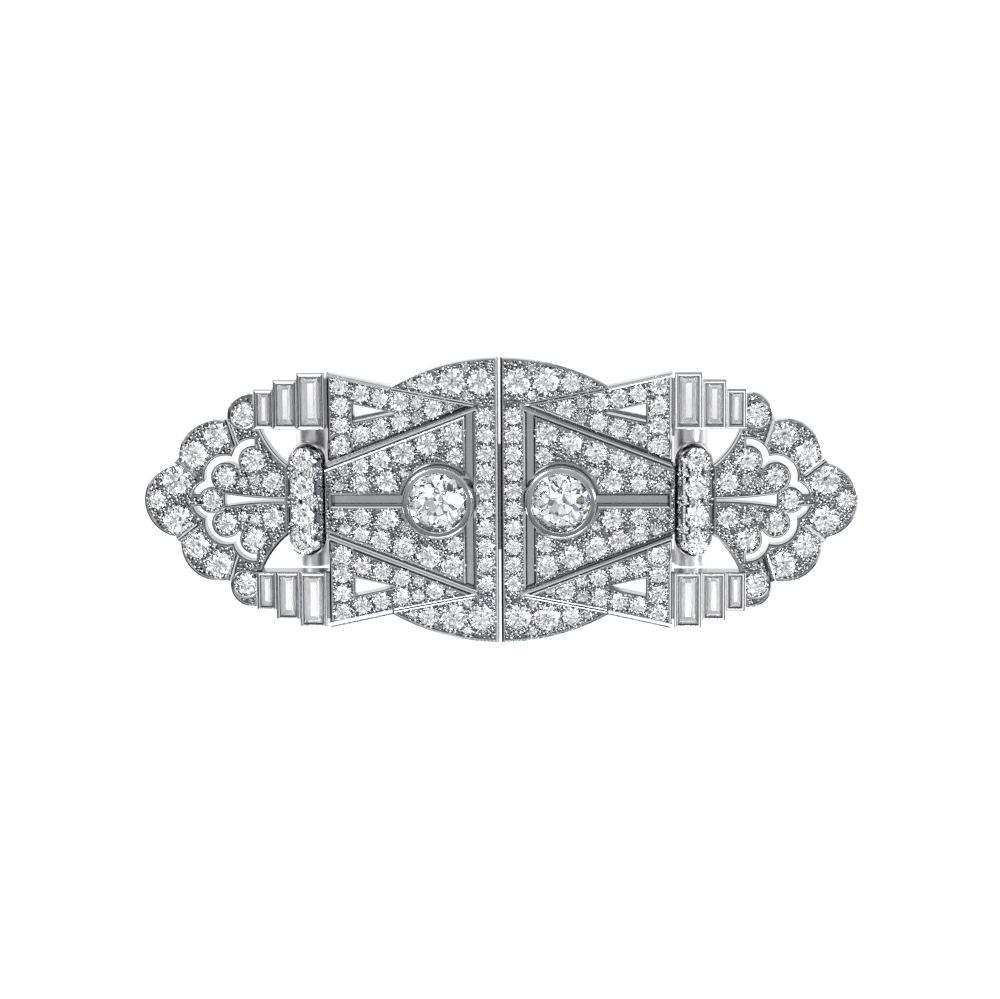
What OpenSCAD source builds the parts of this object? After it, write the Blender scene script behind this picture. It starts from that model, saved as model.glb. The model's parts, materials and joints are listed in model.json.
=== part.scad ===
// Double clip brooch: two mirrored clips on a hidden brooch frame, lying on its back.
// +X runs along the brooch, +Y to its upper edge, +Z out of its face. Millimetres.

/* [Centre of a clip] */
// Gap between the two clips where they meet
meet_gap = 0.3; // [0.2:0.05:0.5]
// Width of the strip of stones beside the joint
strip_w = 2.2; // [2:0.05:2.5]
// Half height of that strip
strip_half_h = 8.65; // [8.3:0.05:9.1]
// Width of the sunk groove between strip and field
groove_w = 0.75; // [0.5:0.05:1]
// Length of the field of stones, from the groove to its outer end
field_len = 12.3; // [11.4:0.1:13.5]
// Half height of the field at its outer end
field_end_half_h = 3.3; // [2.9:0.1:3.7]
// Full width of the sunk channel along the middle of the field
channel_w = 1; // [0.7:0.05:1.3]
// Width of the ridge and its two cuts between field and arm
ridge_cut_w = 0.7; // [0.5:0.05:0.9]
// Width of the knife edge that stands in that cut
ridge_w = 0.24; // [0.15:0.01:0.3]

/* [Crescents and arms] */
// Half height of the brooch where the clips meet
crescent_half_h = 12.95; // [12.4:0.05:13.5]
// Reach of a crescent along the brooch
crescent_reach = 9.7; // [9:0.1:10.4]
// Half height where a crescent ends on the arm
crescent_end_half_h = 10.4; // [10.1:0.05:10.8]
// How far under that end the line between crescent and arm comes out
bead_drop = 0.35; // [0.2:0.05:0.5]
// Half height of an arm at its outer end
arm_half_h = 11.65; // [11.2:0.05:12.2]
// Width of the column of stones at an arm's outer end
arm_column_w = 2.25; // [2:0.05:2.5]
// Length of the pierced triangle
window_len = 3.9; // [3.2:0.1:4.4]
// Width of the pierced triangle at its base
window_base = 1.75; // [1.3:0.05:2]
// Height of the triangle's point above the middle of the brooch
window_y = 7.9; // [7.7:0.05:8.1]

/* [Main stone and bezel] */
// Diameter of a main stone
main_d = 5.2; // [4.8:0.1:5.5]
// Width of the bezel's flat top
bezel_w = 0.54; // [0.4:0.02:0.65]
// Flare of the bezel from its top to its foot
bezel_flare = 0.18; // [0:0.02:0.25]
// Height of the bezel above the field
bezel_h = 1.7; // [1.2:0.1:2.2]
// How far the main stone's girdle lies under the bezel's top
bezel_sink = 0.35; // [0.2:0.05:0.5]

/* [Roll] */
// Space between the field's outer end and the roll
roll_gap = 0.3; // [0.2:0.05:0.5]
// Width of the roll
roll_w = 3.4; // [3.1:0.1:3.7]
// Half length of the roll
roll_half_len = 5.2; // [4.9:0.1:5.5]
// Height of the roll above the field
roll_h = 0.9; // [0.6:0.1:1.2]
// Depth of the fan cuts in the roll's side
flute_depth = 0.16; // [0.08:0.02:0.24]

/* [Baguettes] */
// Width of the largest frame
baguette_w = 2.45; // [2.3:0.05:2.7]
// Height of the largest frame
baguette_h = 5.05; // [4.7:0.05:5.4]
// Wall of a frame
baguette_wall = 0.32; // [0.25:0.01:0.38]
// Half height at which the frames begin
baguette_inner_y = 6.5; // [6.3:0.05:6.8]
// Space between the arm and the first frame
baguette_gap = 0.28; // [0.2:0.02:0.4]
// Height of the frames above the field
baguette_rise = 0.35; // [0.2:0.05:0.6]
// How much lower each frame stands than the one before it
baguette_step = 0.12; // [0:0.02:0.2]

/* [Shell end] */
// Length of the shell, from the roll to the tip
shell_len = 13; // [12.3:0.1:13.8]
// Half height of the shell's outer border
shell_half_h = 9.75; // [9.3:0.05:10.1]
// Width of the open slot between border and inner shell
slot_w = 0.7; // [0.6:0.05:0.9]
// Width of the bridge across the slot at the tip
bridge_w = 1; // [0.7:0.1:1.3]
// Metal around a lobe's stone in the inner shell
lobe_rim = 0.3; // [0.22:0.02:0.36]
// Half width of the pointed slot on the axis, at its outer end
dart_half_w = 0.6; // [0.45:0.05:0.7]
// Half width of the pointed slot on the axis, at the roll
dart_root_half_w = 0.16; // [0.1:0.02:0.3]

/* [Stones and seats] */
// Space between two stones
stone_gap = 0.16; // [0.14:0.01:0.2]
// Space between a stone and its seat
seat_clear = 0.04; // [0.03:0.005:0.05]
// Plain metal edge around a set area
rim = 0.3; // [0.22:0.02:0.4]
// Smallest stone that is set
smallest_d = 0.75; // [0.6:0.05:0.9]
// Largest stone of the field
field_d = 2.05; // [1.9:0.05:2.2]
// Largest stone of an arm
arm_d = 1.6; // [1.4:0.05:1.8]
// Stone of the strip
strip_d = 1.5; // [1.3:0.05:1.6]
// Largest stone of a crescent
crescent_d = 2.4; // [2.2:0.05:2.6]
// Largest of the small stones that stand between the large ones
small_d = 0.95; // [0.8:0.05:1.1]
// How far a stone's girdle lies under the metal's face
girdle_sink = 0.12; // [0.06:0.02:0.2]

/* [Metal heights] */
// Thickness of a clip's plate
plate_t = 2.1; // [1.9:0.05:2.4]
// Depth of the grooves and the channel
groove_depth = 0.9; // [0.6:0.05:1.1]
// How much lower the shell lies than the field
shell_drop = 0.25; // [0.1:0.05:0.4]
// How much the knife edge stands above the field
ridge_rise = 0.12; // [0.05:0.01:0.2]

/* [Fittings behind the clips] */
// Height of the fittings under the plates
fitting_h = 4.6; // [4.4:0.1:5]
// Clearance of a sliding fit
slide_clear = 0.1; // [0.08:0.01:0.15]
// Distance of a rail's middle from the axis
rail_y = 4; // [3.8:0.1:4.2]
// Width of a rail
rail_w = 1.6; // [1.4:0.1:1.8]
// Thickness of a rail
rail_t = 0.9; // [0.8:0.05:1]
// Reach of the rails from the joint line
rail_reach = 14; // [13.4:0.1:14.4]
// Length of a rail hook along the rail
hook_len = 2; // [1.6:0.1:2.4]
// Wall of a rail hook
hook_wall = 0.7; // [0.6:0.05:0.9]
// Place of the inner hook
hook_inner_x = 3.4; // [3:0.1:4]
// Place of the outer hook
hook_outer_x = 10.6; // [9.8:0.1:11.2]
// Radius of the flap's hinge barrel
barrel_r = 1.5; // [1.2:0.05:1.6]
// Radius of the barrel's necks
neck_r = 0.7; // [0.6:0.05:0.8]
// Radial clearance of the hinge
hinge_clear = 0.08; // [0.06:0.01:0.1]
// Width of a hinge ear
ear_w = 1; // [0.8:0.1:1.2]
// Place of a hinge ear, from the axis
ear_y = 2.4; // [2.1:0.1:2.7]
// Width of a prong
prong_w = 1.2; // [1:0.1:1.3]
// Thickness of a prong
prong_t = 0.7; // [0.6:0.05:0.85]
// Angle at which the prongs spread
prong_spread = 11; // [9:1:13]
// Length of a prong, along the brooch
prong_len = 12.5; // [11.5:0.1:13]
// Height of a prong's point
prong_point_h = 1.3; // [1:0.1:1.6]
// Diameter of the pin
pin_d = 0.9; // [0.8:0.05:1]
// Height of the pin's axis
pin_z = 1.5; // [1.3:0.05:1.7]
// Width of the pin's block and catch
block_w = 2.4; // [2.2:0.1:2.8]
// Width of a crossbar
crossbar_w = 2.6; // [2.2:0.1:3]

/* [Hidden] */
SIDES = ["left", "right"];
HALVES = ["upper", "lower"];
BAGUETTES = [0, 1, 2];
BORDER_COUNT = 9;
PAVE = ["strip", "crescents", "arms", "field", "roll", "shell"];
$fn = 64;
SHOW = 0.01;
OVER = 0.3;

// Heights
back_z = fitting_h;
face_z = back_z + plate_t;
groove_z = face_z - groove_depth;
shell_z = face_z - shell_drop;
bezel_z = face_z + bezel_h;

// Places along a clip, from the joint line outwards
strip_x0 = meet_gap / 2;
strip_x1 = strip_x0 + strip_w;
field_x0 = strip_x1 + groove_w;
field_x1 = field_x0 + field_len;
roll_x0 = field_x1 + roll_gap;
roll_x1 = roll_x0 + roll_w;
roll_x = (roll_x0 + roll_x1) / 2;
baguette_x0 = field_x1 + baguette_gap;

// Lines that bound the set areas, each a height for a place along the clip
function line_at(x, a, b) = a.y + (b.y - a.y) * (x - a.x) / (b.x - a.x);
ridge_a = [strip_x1, strip_half_h - ridge_cut_w / 2];
ridge_b = [field_x1, field_end_half_h];
function ridge_at(x) = line_at(x, ridge_a, ridge_b);
bead_a = [strip_x1, strip_half_h];
bead_b = [crescent_reach, crescent_end_half_h - bead_drop];
function bead_at(x) = line_at(x, bead_a, bead_b);
arm_a = [crescent_reach, crescent_end_half_h];
arm_b = [field_x1, arm_half_h];
function arm_top_at(x) = line_at(x, arm_a, arm_b);

// Circle of the crescent's edge: centred on the joint line, through the crescent's end
crescent_sag = crescent_half_h - crescent_end_half_h;
crescent_r = (crescent_reach ^ 2 + crescent_sag ^ 2) / (2 * crescent_sag);
crescent_cy = crescent_half_h - crescent_r;
function crescent_at(x) = crescent_cy + sqrt(crescent_r ^ 2 - x ^ 2);

// Pierced triangle in the arm
window_x1 = field_x1 - arm_column_w;
window_x0 = window_x1 - window_len;
window_slope = window_base / 2 / window_len;
function window_half_at(x) = max(0, x - window_x0) * window_slope;

// Bezel: it stands on the field and overlaps the groove's outer edge
bezel_top_r = main_d / 2 + seat_clear + bezel_w;
bezel_foot_r = bezel_top_r + bezel_flare;
main_x = strip_x1 + bezel_top_r - 0.02;

// Shell, as shares of its length and of its outer half height
LOBE_U = 0; LOBE_V = 1; LOBE_R = 2;
// Outer lobes: place, height, radius
outer_lobes = [
    [0.258, 0.795, 0.154],
    [0.492, 0.41, 0.2615],
    [0.7385, 0, 0.2615]
];
// Inner lobes, each around one stone: place, height, radius
inner_lobes = [
    [0.238, 0.369, 0.1],
    [0.431, 0.215, 0.1],
    [0.531, 0, 0.0885]
];
// Stones inside the inner shell: place, height, diameter
inner_stones = [
    [0.108, 0.168, 0.165],
    [0.232, 0.184, 0.1],
    [0.32, 0.158, 0.085]
];
// Stones of the border, from the baguettes to the tip: place, height, diameter
border_table = [
    [0.3, 0.79, 0.155],
    [0.49, 0.6, 0.178],
    [0.645, 0.425, 0.178],
    [0.775, 0.185, 0.2],
    [0.915, 0, 0.13]
];
function shell_x(u) = roll_x1 + u * shell_len;
function shell_y(v) = v * shell_half_h;
function shell_spot(row) = [shell_x(row[LOBE_U]), shell_y(row[LOBE_V]), row[LOBE_R] * shell_len];
dart_x0 = roll_x1 + rim;
dart_x1 = shell_x(inner_lobes[2][LOBE_U]) - inner_lobes[2][LOBE_R] * shell_len;
// Open window between baguettes, roll and inner shell: how far it reaches along the baguettes and down the
// roll, and the sag of its curved side
bay_u = 0.19;
bay_root_v = 0.32;
bay_sag = 0.022;
horn_x = shell_x(0.224);

// Places of the back fittings
rail_z1 = back_z - slide_clear;
rail_z0 = rail_z1 - rail_t;
barrel_x = roll_x - 0.2;
barrel_z = back_z - barrel_r - 0.25;
barrel_half_len = baguette_inner_y - 0.1;
prong_root_y = barrel_half_len - prong_w / 2 - 0.25;

// Brings what is modelled as the upper right quarter, or the right clip, to its place
module on_side(s) {
    if (s == "left") mirror([1, 0, 0]) children(); else children();
}
module on_half(h) {
    if (h == "lower") mirror([0, 1, 0]) children(); else children();
}
module both_halves() {
    children();
    mirror([0, 1, 0]) children();
}
module slab(z0, z1) {
    translate([0, 0, z0]) linear_extrude(z1 - z0) children();
}

// Stone places. A stone is [x, y, diameter].
function flip_y(stones) = [for (s = stones) [s.x, -s.y, s.z]];
function swap_xy(stones) = [for (s = stones) [s.y, s.x, s.z]];
function mirrored(stones) = concat(stones, flip_y(stones));

// Plain edge left beside a row, where two set areas or a cut border it
edge = rim * 0.6;

// Row of stones that fills the band between two lines, from x to x_end
function band(x, x_end, low, high, cap) =
    let (
        room = function(p) min(cap, high(p) - low(p) - stone_gap),
        d0 = room(x + cap / 2),
        d1 = room(x + d0 / 2),
        d = room(x + d1 / 2),
        c = x + d / 2
    )
    x + d > x_end || d < smallest_d ? [] :
    concat([[c, (low(c) + high(c)) / 2, d]], band(x + d + stone_gap, x_end, low, high, cap));

// The same row, laid from x back to x_end
function band_back(x, x_end, low, high, cap) =
    [for (s = band(-x, -x_end, function(p) low(-p), function(p) high(-p), cap)) [-s.x, s.y, s.z]];

// Spreads a row so that its last stone ends at x_end
function spread(stones, x_end) =
    let (
        n = len(stones),
        spare = n > 1 ? (x_end - stones[n - 1].x - stones[n - 1].z / 2) / (n - 1) : 0
    )
    [for (i = [0:n - 1]) [stones[i].x + i * spare, stones[i].y, stones[i].z]];
function spread_band(x, x_end, low, high, cap) =
    let (row = spread(band(x, x_end, low, high, cap), x_end))
    [for (s = row) [s.x, (low(s.x) + high(s.x)) / 2, min(s.z, high(s.x) - low(s.x) - stone_gap)]];

// Makes stones that stand too close smaller until each pair keeps its space
function pair_d(a, b) = 2 * (norm([a.x - b.x, a.y - b.y]) - stone_gap) * a.z / (a.z + b.z);
function settled(stones) =
    let (
        n = len(stones),
        fitted = [for (i = [0:n - 1])
            [stones[i].x, stones[i].y,
             min([for (j = [0:n - 1]) i == j ? stones[i].z : pair_d(stones[i], stones[j])])]]
    )
    [for (s = fitted) if (s.z >= smallest_d) s];

// Small stones at chosen spots, as large as the stones around them leave room for
function filler_d(p, stones, cap) =
    min(cap, min([for (s = stones) 2 * (norm([p.x - s.x, p.y - s.y]) - stone_gap) - s.z]));
function fillers(spots, stones, cap) = settled([
    for (p = spots) let (d = filler_d(p, stones, cap)) if (d >= smallest_d) [p.x, p.y, d]
]);

// Strip: one column over its whole height
strip_stones = swap_xy(spread_band(
    rim - strip_half_h, strip_half_h - rim,
    function(p) strip_x0 + edge, function(p) strip_x1 - edge, strip_d
));

// Crescents: one row, with small stones above and below where two large ones meet
crescent_low = function(p) bead_at(max(p, strip_x1)) + rim * 0.7;
crescent_high = function(p) crescent_at(p) - rim;
crescent_row = band(strip_x0 + rim, crescent_reach, crescent_low, crescent_high, crescent_d);
crescent_pair_x = (crescent_row[0].x + crescent_row[1].x) / 2;
crescent_fill = fillers(
    [[crescent_pair_x, crescent_high(crescent_pair_x) - small_d / 2],
     [crescent_pair_x, crescent_low(crescent_pair_x) + small_d / 2]],
    crescent_row, small_d
);
crescent_stones = mirrored(concat(crescent_row, crescent_fill));

// Arms: a column at the outer end, a row on each side of the triangle, and one row that tapers inwards
ridge_side = ridge_cut_w / 2 + 0.08;
arm_bevel_w = 1.8 * rim;
arm_low = function(p) ridge_at(p) + ridge_side;
arm_high = function(p) p > crescent_reach ? arm_top_at(p) - arm_bevel_w : bead_at(p) - edge;
arm_column = swap_xy(spread_band(
    arm_low(field_x1 - arm_column_w / 2), arm_half_h - arm_bevel_w,
    function(p) window_x1 + rim / 2, function(p) field_x1 - edge, arm_d
));
// The two rows end where the triangle's point is left behind by about one and a half stones
arm_rows_x1 = window_x1 + rim / 4;
arm_pair_x = window_x0 - rim - 1.6 * arm_d;
window_edge = rim * 0.4;
arm_middle = function(p) (arm_low(p) + arm_high(p)) / 2;
arm_upper_low = function(p)
    p > window_x0 ? window_y + window_half_at(p) + window_edge
                  : max(arm_middle(p), arm_high(p) - arm_d - stone_gap);
arm_lower_high = function(p)
    p > window_x0 ? window_y - window_half_at(p) - window_edge
                  : min(arm_middle(p), arm_low(p) + arm_d + stone_gap);
arm_upper_row = band_back(arm_rows_x1, arm_pair_x, arm_upper_low, arm_high, arm_d);
arm_lower_row = band_back(arm_rows_x1, arm_pair_x, arm_low, arm_lower_high, arm_d);
function last_end(row) = row[len(row) - 1].x - row[len(row) - 1].z / 2;
arm_tail = band_back(
    min(last_end(arm_upper_row), last_end(arm_lower_row)) - stone_gap / 2, strip_x1, arm_low, arm_high, arm_d
);
arm_stones = mirrored(settled(concat(arm_column, arm_upper_row, arm_lower_row, arm_tail)));

// Field: one row under the ridge, one beside the channel, and stones in what room the bezel leaves
field_high = function(p) ridge_at(p) - ridge_side - 0.05;
field_low = channel_w / 2 + edge;
field_split = function(p)
    max(field_high(p) - field_d - stone_gap, (field_high(p) + field_low) / 2);
ridge_row = band(field_x0 + 0.1, field_x1 - rim, field_split, field_high, field_d);
channel_row = spread_band(
    main_x + bezel_foot_r + 0.3, field_x1 - rim,
    function(p) field_low, function(p) min(field_split(p), field_low + field_d + stone_gap), field_d
);
// Spot beside the bezel, as an angle from the axis
bezel_spot_angle = 38;
bezel_spot_r = bezel_foot_r + stone_gap + small_d / 2;
bezel_fill = fillers(
    concat(
        [[field_x0 + 0.15 + arm_d / 2, ridge_row[0].y - (ridge_row[0].z + arm_d) / 2 - stone_gap]],
        [[main_x + bezel_spot_r * cos(bezel_spot_angle), bezel_spot_r * sin(bezel_spot_angle)]]
    ),
    concat(ridge_row, channel_row, [[main_x, 0, 2 * bezel_foot_r]]), arm_d
);
field_stones = mirrored(concat(ridge_row, channel_row, bezel_fill));

// Shell
function lobe_stone(row) = let (s = shell_spot(row)) [s.x, s.y, 2 * (s.z - lobe_rim)];
shell_half = concat(
    [for (row = inner_lobes) if (row[LOBE_V] > 0) lobe_stone(row)],
    [for (row = inner_stones) shell_spot(row)]
);
shell_stones = settled(concat(mirrored(shell_half), [lobe_stone(inner_lobes[2])]));
border_half = [for (row = border_table) shell_spot(row)];
border_stones = settled(concat(
    border_half, [for (i = [0:len(border_half) - 2]) let (s = border_half[i]) [s.x, -s.y, s.z]]
));

// Roll: large stones along its top, small pairs between them. A stone here is [y, tilt, diameter].
roll_pitch = (roll_half_len * 2 - rim) / 4;
roll_r = roll_w / 2;
roll_axis_z = face_z + roll_h - roll_r;
roll_large_d = roll_pitch - 2.4 * stone_gap;
roll_small_d = roll_pitch * 0.36;
roll_large = [for (i = [0:3]) [(i - 1.5) * roll_pitch, 10, roll_large_d]];
roll_small = [for (j = [-1:1], tilt = [-36, 52]) [j * roll_pitch, tilt, roll_small_d]];
roll_stones = concat(roll_large, roll_small);

// Seat: straight at the girdle, then a cone beside the stone, then an open hole
crown_share = 0.16;
pavilion_share = 0.43;
table_share = 0.56;
hole_share = 0.3;
module seat(d, depth, rise) {
    seat_r = d / 2 + seat_clear;
    hole_r = d * hole_share;
    cone_z = -(seat_r - hole_r) * 2 * pavilion_share - seat_clear;
    rotate_extrude($fn = 48)
        polygon([
            [0, -depth], [hole_r, -depth], [hole_r, cone_z], [seat_r, -seat_clear],
            [seat_r, rise], [0, rise]
        ]);
}
module seats(stones, z) {
    for (s = stones) translate([s.x, s.y, z - girdle_sink]) seat(s.z, plate_t + OVER, OVER + girdle_sink);
}

// Single cut stone: a table, eight crown facets, a thin girdle and eight pavilion facets
girdle_t = 0.03;
module single_cut(d) {
    n = 8;
    function ring(r, z) = [for (i = [0:n - 1]) [r * cos(i * 360 / n), r * sin(i * 360 / n), z]];
    polyhedron(
        concat(
            [[0, 0, -d * pavilion_share]],
            ring(d / 2, -girdle_t), ring(d / 2, girdle_t), ring(d / 2 * table_share, d * crown_share)
        ),
        concat(
            [for (i = [0:n - 1]) [0, 1 + i, 1 + (i + 1) % n]],
            [for (k = [0, 1], i = [0:n - 1]) let (a = 1 + k * n + i, b = 1 + k * n + (i + 1) % n)
                [a, a + n, b + n, b]],
            [[for (i = [n - 1:-1:0]) 1 + 2 * n + i]]
        )
    );
}

// Brilliant: table, star, kite and girdle facets over sixteen lower and eight main pavilion facets
star_share = 0.79;
star_lift = 0.58;
lower_share = 0.3;
module brilliant(d) {
    n = 8;
    step = 360 / n;
    r = d / 2;
    crown = d * crown_share;
    deep = d * pavilion_share;
    function ring(count, r, z, turn) =
        [for (i = [0:count - 1]) let (a = i * 360 / count + turn) [r * cos(a), r * sin(a), z]];
    culet = 0;
    lower = 1;
    girdle_low = lower + n;
    girdle_high = girdle_low + 2 * n;
    star = girdle_high + 2 * n;
    top = star + n;
    polyhedron(
        concat(
            [[0, 0, -deep]],
            ring(n, r * lower_share, -deep * (1 - lower_share) - girdle_t, step / 2),
            ring(2 * n, r, -girdle_t, 0),
            ring(2 * n, r, girdle_t, 0),
            ring(n, r * star_share, crown * star_lift, step / 2),
            ring(n, r * table_share, crown, 0)
        ),
        [for (i = [0:n - 1]) let (j = (i + 1) % n, g = 2 * i, h = 2 * i + 1, k = (2 * i + 2) % (2 * n))
            each [
                [culet, lower + i, girdle_low + k, lower + j],
                [lower + i, girdle_low + g, girdle_low + h],
                [lower + i, girdle_low + h, girdle_low + k],
                [girdle_low + g, girdle_high + g, girdle_high + h, girdle_low + h],
                [girdle_low + h, girdle_high + h, girdle_high + k, girdle_low + k],
                [girdle_high + g, star + i, girdle_high + h],
                [girdle_high + h, star + i, girdle_high + k],
                [girdle_high + k, star + i, top + j, star + j],
                [star + i, top + i, top + j]
            ],
         [for (i = [n - 1:-1:0]) top + i]]
    );
}

// Step cut stone through rectangular rings: share of the size at each height
module step_cut(w, h) {
    // Share of the half sizes, height as a share of the width
    steps = [[0.12, -0.5], [0.62, -0.27], [1, -0.03], [1, 0.03], [0.8, 0.13], [0.56, 0.19]];
    inset = [for (s = steps) (1 - s[0]) * w / 2];
    function ring(k) =
        let (x = w / 2 - inset[k], y = h / 2 - inset[k], z = steps[k][1] * w)
        [[-x, -y, z], [x, -y, z], [x, y, z], [-x, y, z]];
    n = len(steps);
    polyhedron(
        [for (k = [0:n - 1]) each ring(k)],
        concat(
            [[0, 1, 2, 3]],
            [for (k = [0:n - 2], i = [0:3]) let (a = 4 * k + i, b = 4 * k + (i + 1) % 4)
                [a, a + 4, b + 4, b]],
            [[for (i = [3:-1:0]) 4 * (n - 1) + i]]
        )
    );
}

// Baguette frames: place, half height and size of each, as shares of the largest
BAGUETTE_SHARES = [[1, 1], [0.88, 0.87], [0.72, 0.7]];
function frame_w(b) = baguette_w * BAGUETTE_SHARES[b][0];
function frame_h(b) = baguette_h * BAGUETTE_SHARES[b][1];
function frame_x(b) = b == 0 ? baguette_x0 : frame_x(b - 1) + frame_w(b - 1);
function bag_w(b) = frame_w(b) - 2 * (baguette_wall + seat_clear);
function bag_h(b) = frame_h(b) - 2 * (baguette_wall + seat_clear);
function baguette_z(b) = face_z + baguette_rise - b * baguette_step;
baguette_end = frame_x(2) + frame_w(2);

module baguette_frame(b) {
    x = frame_x(b);
    slab(back_z, baguette_z(b))
        translate([x - SHOW, baguette_inner_y]) square([frame_w(b) + SHOW, frame_h(b)]);
}
module baguette_seat(b) {
    c = [frame_x(b) + frame_w(b) / 2, baguette_inner_y + frame_h(b) / 2];
    w = frame_w(b) - 2 * baguette_wall;
    h = frame_h(b) - 2 * baguette_wall;
    ledge = w * 0.17;
    ledge_z = baguette_z(b) - girdle_sink - w * 0.26;
    slab(ledge_z, bezel_z) translate([c.x - w / 2, c.y - h / 2]) square([w, h]);
    slab(back_z - OVER, ledge_z + SHOW)
        translate([c.x - w / 2 + ledge, c.y - h / 2 + ledge]) square([w - 2 * ledge, h - 2 * ledge]);
}

// Outline of the middle of a clip, upper half
module centre_outline() {
    polygon([
        [strip_x0, -SHOW], [field_x1 + roll_gap + OVER, -SHOW],
        [field_x1 + roll_gap + OVER, field_end_half_h - rim], [field_x1, field_end_half_h],
        arm_b, arm_a, [strip_x0, strip_half_h]
    ]);
    intersection() {
        translate([0, crescent_cy]) circle(crescent_r, $fn = 180);
        polygon([
            [strip_x0, strip_half_h - OVER], [strip_x1, strip_half_h - OVER],
            [crescent_reach + SHOW, crescent_end_half_h - OVER],
            [crescent_reach + SHOW, crescent_half_h], [strip_x0, crescent_half_h + OVER]
        ]);
    }
}
module window_outline() {
    polygon([
        [window_x0, window_y],
        [window_x1, window_y - window_base / 2],
        [window_x1, window_y + window_base / 2]
    ]);
}

// Cut on each side of a straight line, in plan
module line_band(a, b, w) {
    dir = (b - a) / norm(b - a);
    side = [-dir.y, dir.x] * w / 2;
    polygon([a - side, b - side, b + side, a + side]);
}
module groove_cuts() {
    // Sunk groove beside the strip
    slab(groove_z, bezel_z) polygon([
        [strip_x1, -SHOW], [field_x0, -SHOW], [field_x0, ridge_at(field_x0)], [strip_x1, ridge_at(strip_x1)]
    ]);
    // Cut along the ridge
    slab(groove_z, bezel_z) line_band(ridge_a, ridge_b + (ridge_b - ridge_a) * 0.03, ridge_cut_w);
    // Sunk channel
    slab(groove_z, bezel_z) translate([main_x, -SHOW])
        square([field_x1 - rim - main_x, channel_w / 2 + SHOW]);
}
module ridge() {
    past = (ridge_b - ridge_a) * 0.03;
    slab(groove_z - OVER, face_z + ridge_rise) intersection() {
        line_band(ridge_a - past, ridge_b + past, ridge_w);
        translate([strip_x1 - OVER, 0]) square([field_x1 + SHOW - strip_x1 + OVER, crescent_half_h]);
    }
}

// Shell outline, upper half
module spot(s, grow = 0) {
    translate([s.x, s.y]) circle(s.z + grow);
}
module shell_blank() {
    for (row = outer_lobes) spot(shell_spot(row));
    polygon([
        [roll_x - SHOW, -SHOW], [roll_x - SHOW, roll_half_len - roll_r], [roll_x1, roll_half_len - roll_r],
        [roll_x1, baguette_inner_y + SHOW],
        [baguette_end, baguette_inner_y + OVER], [shell_x(outer_lobes[0][0]), shell_y(outer_lobes[0][1])],
        [shell_x(outer_lobes[1][0]), shell_y(outer_lobes[1][1])], [shell_x(outer_lobes[2][0]), -SHOW]
    ]);
}
module inner_shell() {
    for (row = inner_lobes) spot(shell_spot(row));
    a = shell_spot(inner_lobes[0]);
    b = shell_spot(inner_lobes[1]);
    c = shell_spot(inner_lobes[2]);
    polygon([
        [roll_x1, -c.z], [roll_x1, a.y], [a.x - a.z, a.y + a.z / 2],
        [a.x, a.y], [b.x, b.y], [c.x, 0], [c.x, -c.z]
    ]);
}
module shell_slot() {
    difference() {
        intersection() {
            for (row = inner_lobes) spot(shell_spot(row), slot_w);
            translate([horn_x, bridge_w / 2]) square([shell_len, shell_half_h]);
        }
        inner_shell();
    }
}
module shell_bay() {
    a = [roll_x1, shell_y(bay_root_v)];
    b = [shell_x(bay_u), baguette_inner_y];
    chord = norm(b - a);
    sag = bay_sag * shell_len;
    r = (chord ^ 2 / 4 + sag ^ 2) / (2 * sag);
    away = [a.y - b.y, b.x - a.x] / chord;
    centre = (a + b) / 2 + away * (r - sag);
    intersection() {
        translate(centre) circle(r, $fn = 256);
        translate([roll_x1, 0]) square([b.x - a.x + sag, baguette_inner_y]);
    }
}
module dart() {
    // Widens from the roll outwards with hollow sides
    n = 8;
    polygon(concat(
        [[dart_x0, -SHOW]],
        [for (i = [0:n]) let (t = i / n)
            [dart_x0 + t * (dart_x1 - dart_x0), dart_root_half_w + (dart_half_w - dart_root_half_w) * t ^ 2]],
        [[dart_x1, -SHOW]]
    ));
}

// Half round roll with round ends, flat at the back of the clip
module roll_body() {
    straight = roll_half_len - roll_r;
    difference() {
        union() {
            translate([roll_x, 0, roll_axis_z]) rotate([90, 0, 0])
                cylinder(r = roll_r, h = 2 * straight, center = true);
            for (y = [-straight, straight]) translate([roll_x, y, roll_axis_z]) sphere(roll_r);
        }
        slab(back_z - roll_r, roll_axis_z)
            translate([roll_x0 - OVER, -roll_half_len - OVER])
                square([roll_w + 2 * OVER, 2 * (roll_half_len + OVER)]);
    }
    slab(back_z, roll_axis_z + SHOW) {
        translate([roll_x0, -straight]) square([roll_w, 2 * straight]);
        for (y = [-straight, straight]) translate([roll_x, y]) circle(roll_r);
    }
}
module on_roll(s) {
    translate([roll_x, s[0], roll_axis_z]) rotate([0, s[1], 0])
        translate([0, 0, roll_r - girdle_sink]) children();
}
// Fan of cuts in the roll's side, beside each large stone
FLUTES = [-34, -12, 12, 34];
module flutes() {
    for (s = roll_large, a = FLUTES)
        translate([roll_x, s[0], roll_axis_z]) rotate([0, -62, 0]) translate([0, 0, roll_r])
            rotate([0, 0, a]) rotate([45, 0, 0])
                cube([roll_r * 0.9, flute_depth * sqrt(2), flute_depth * sqrt(2)], center = true);
}

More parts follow.
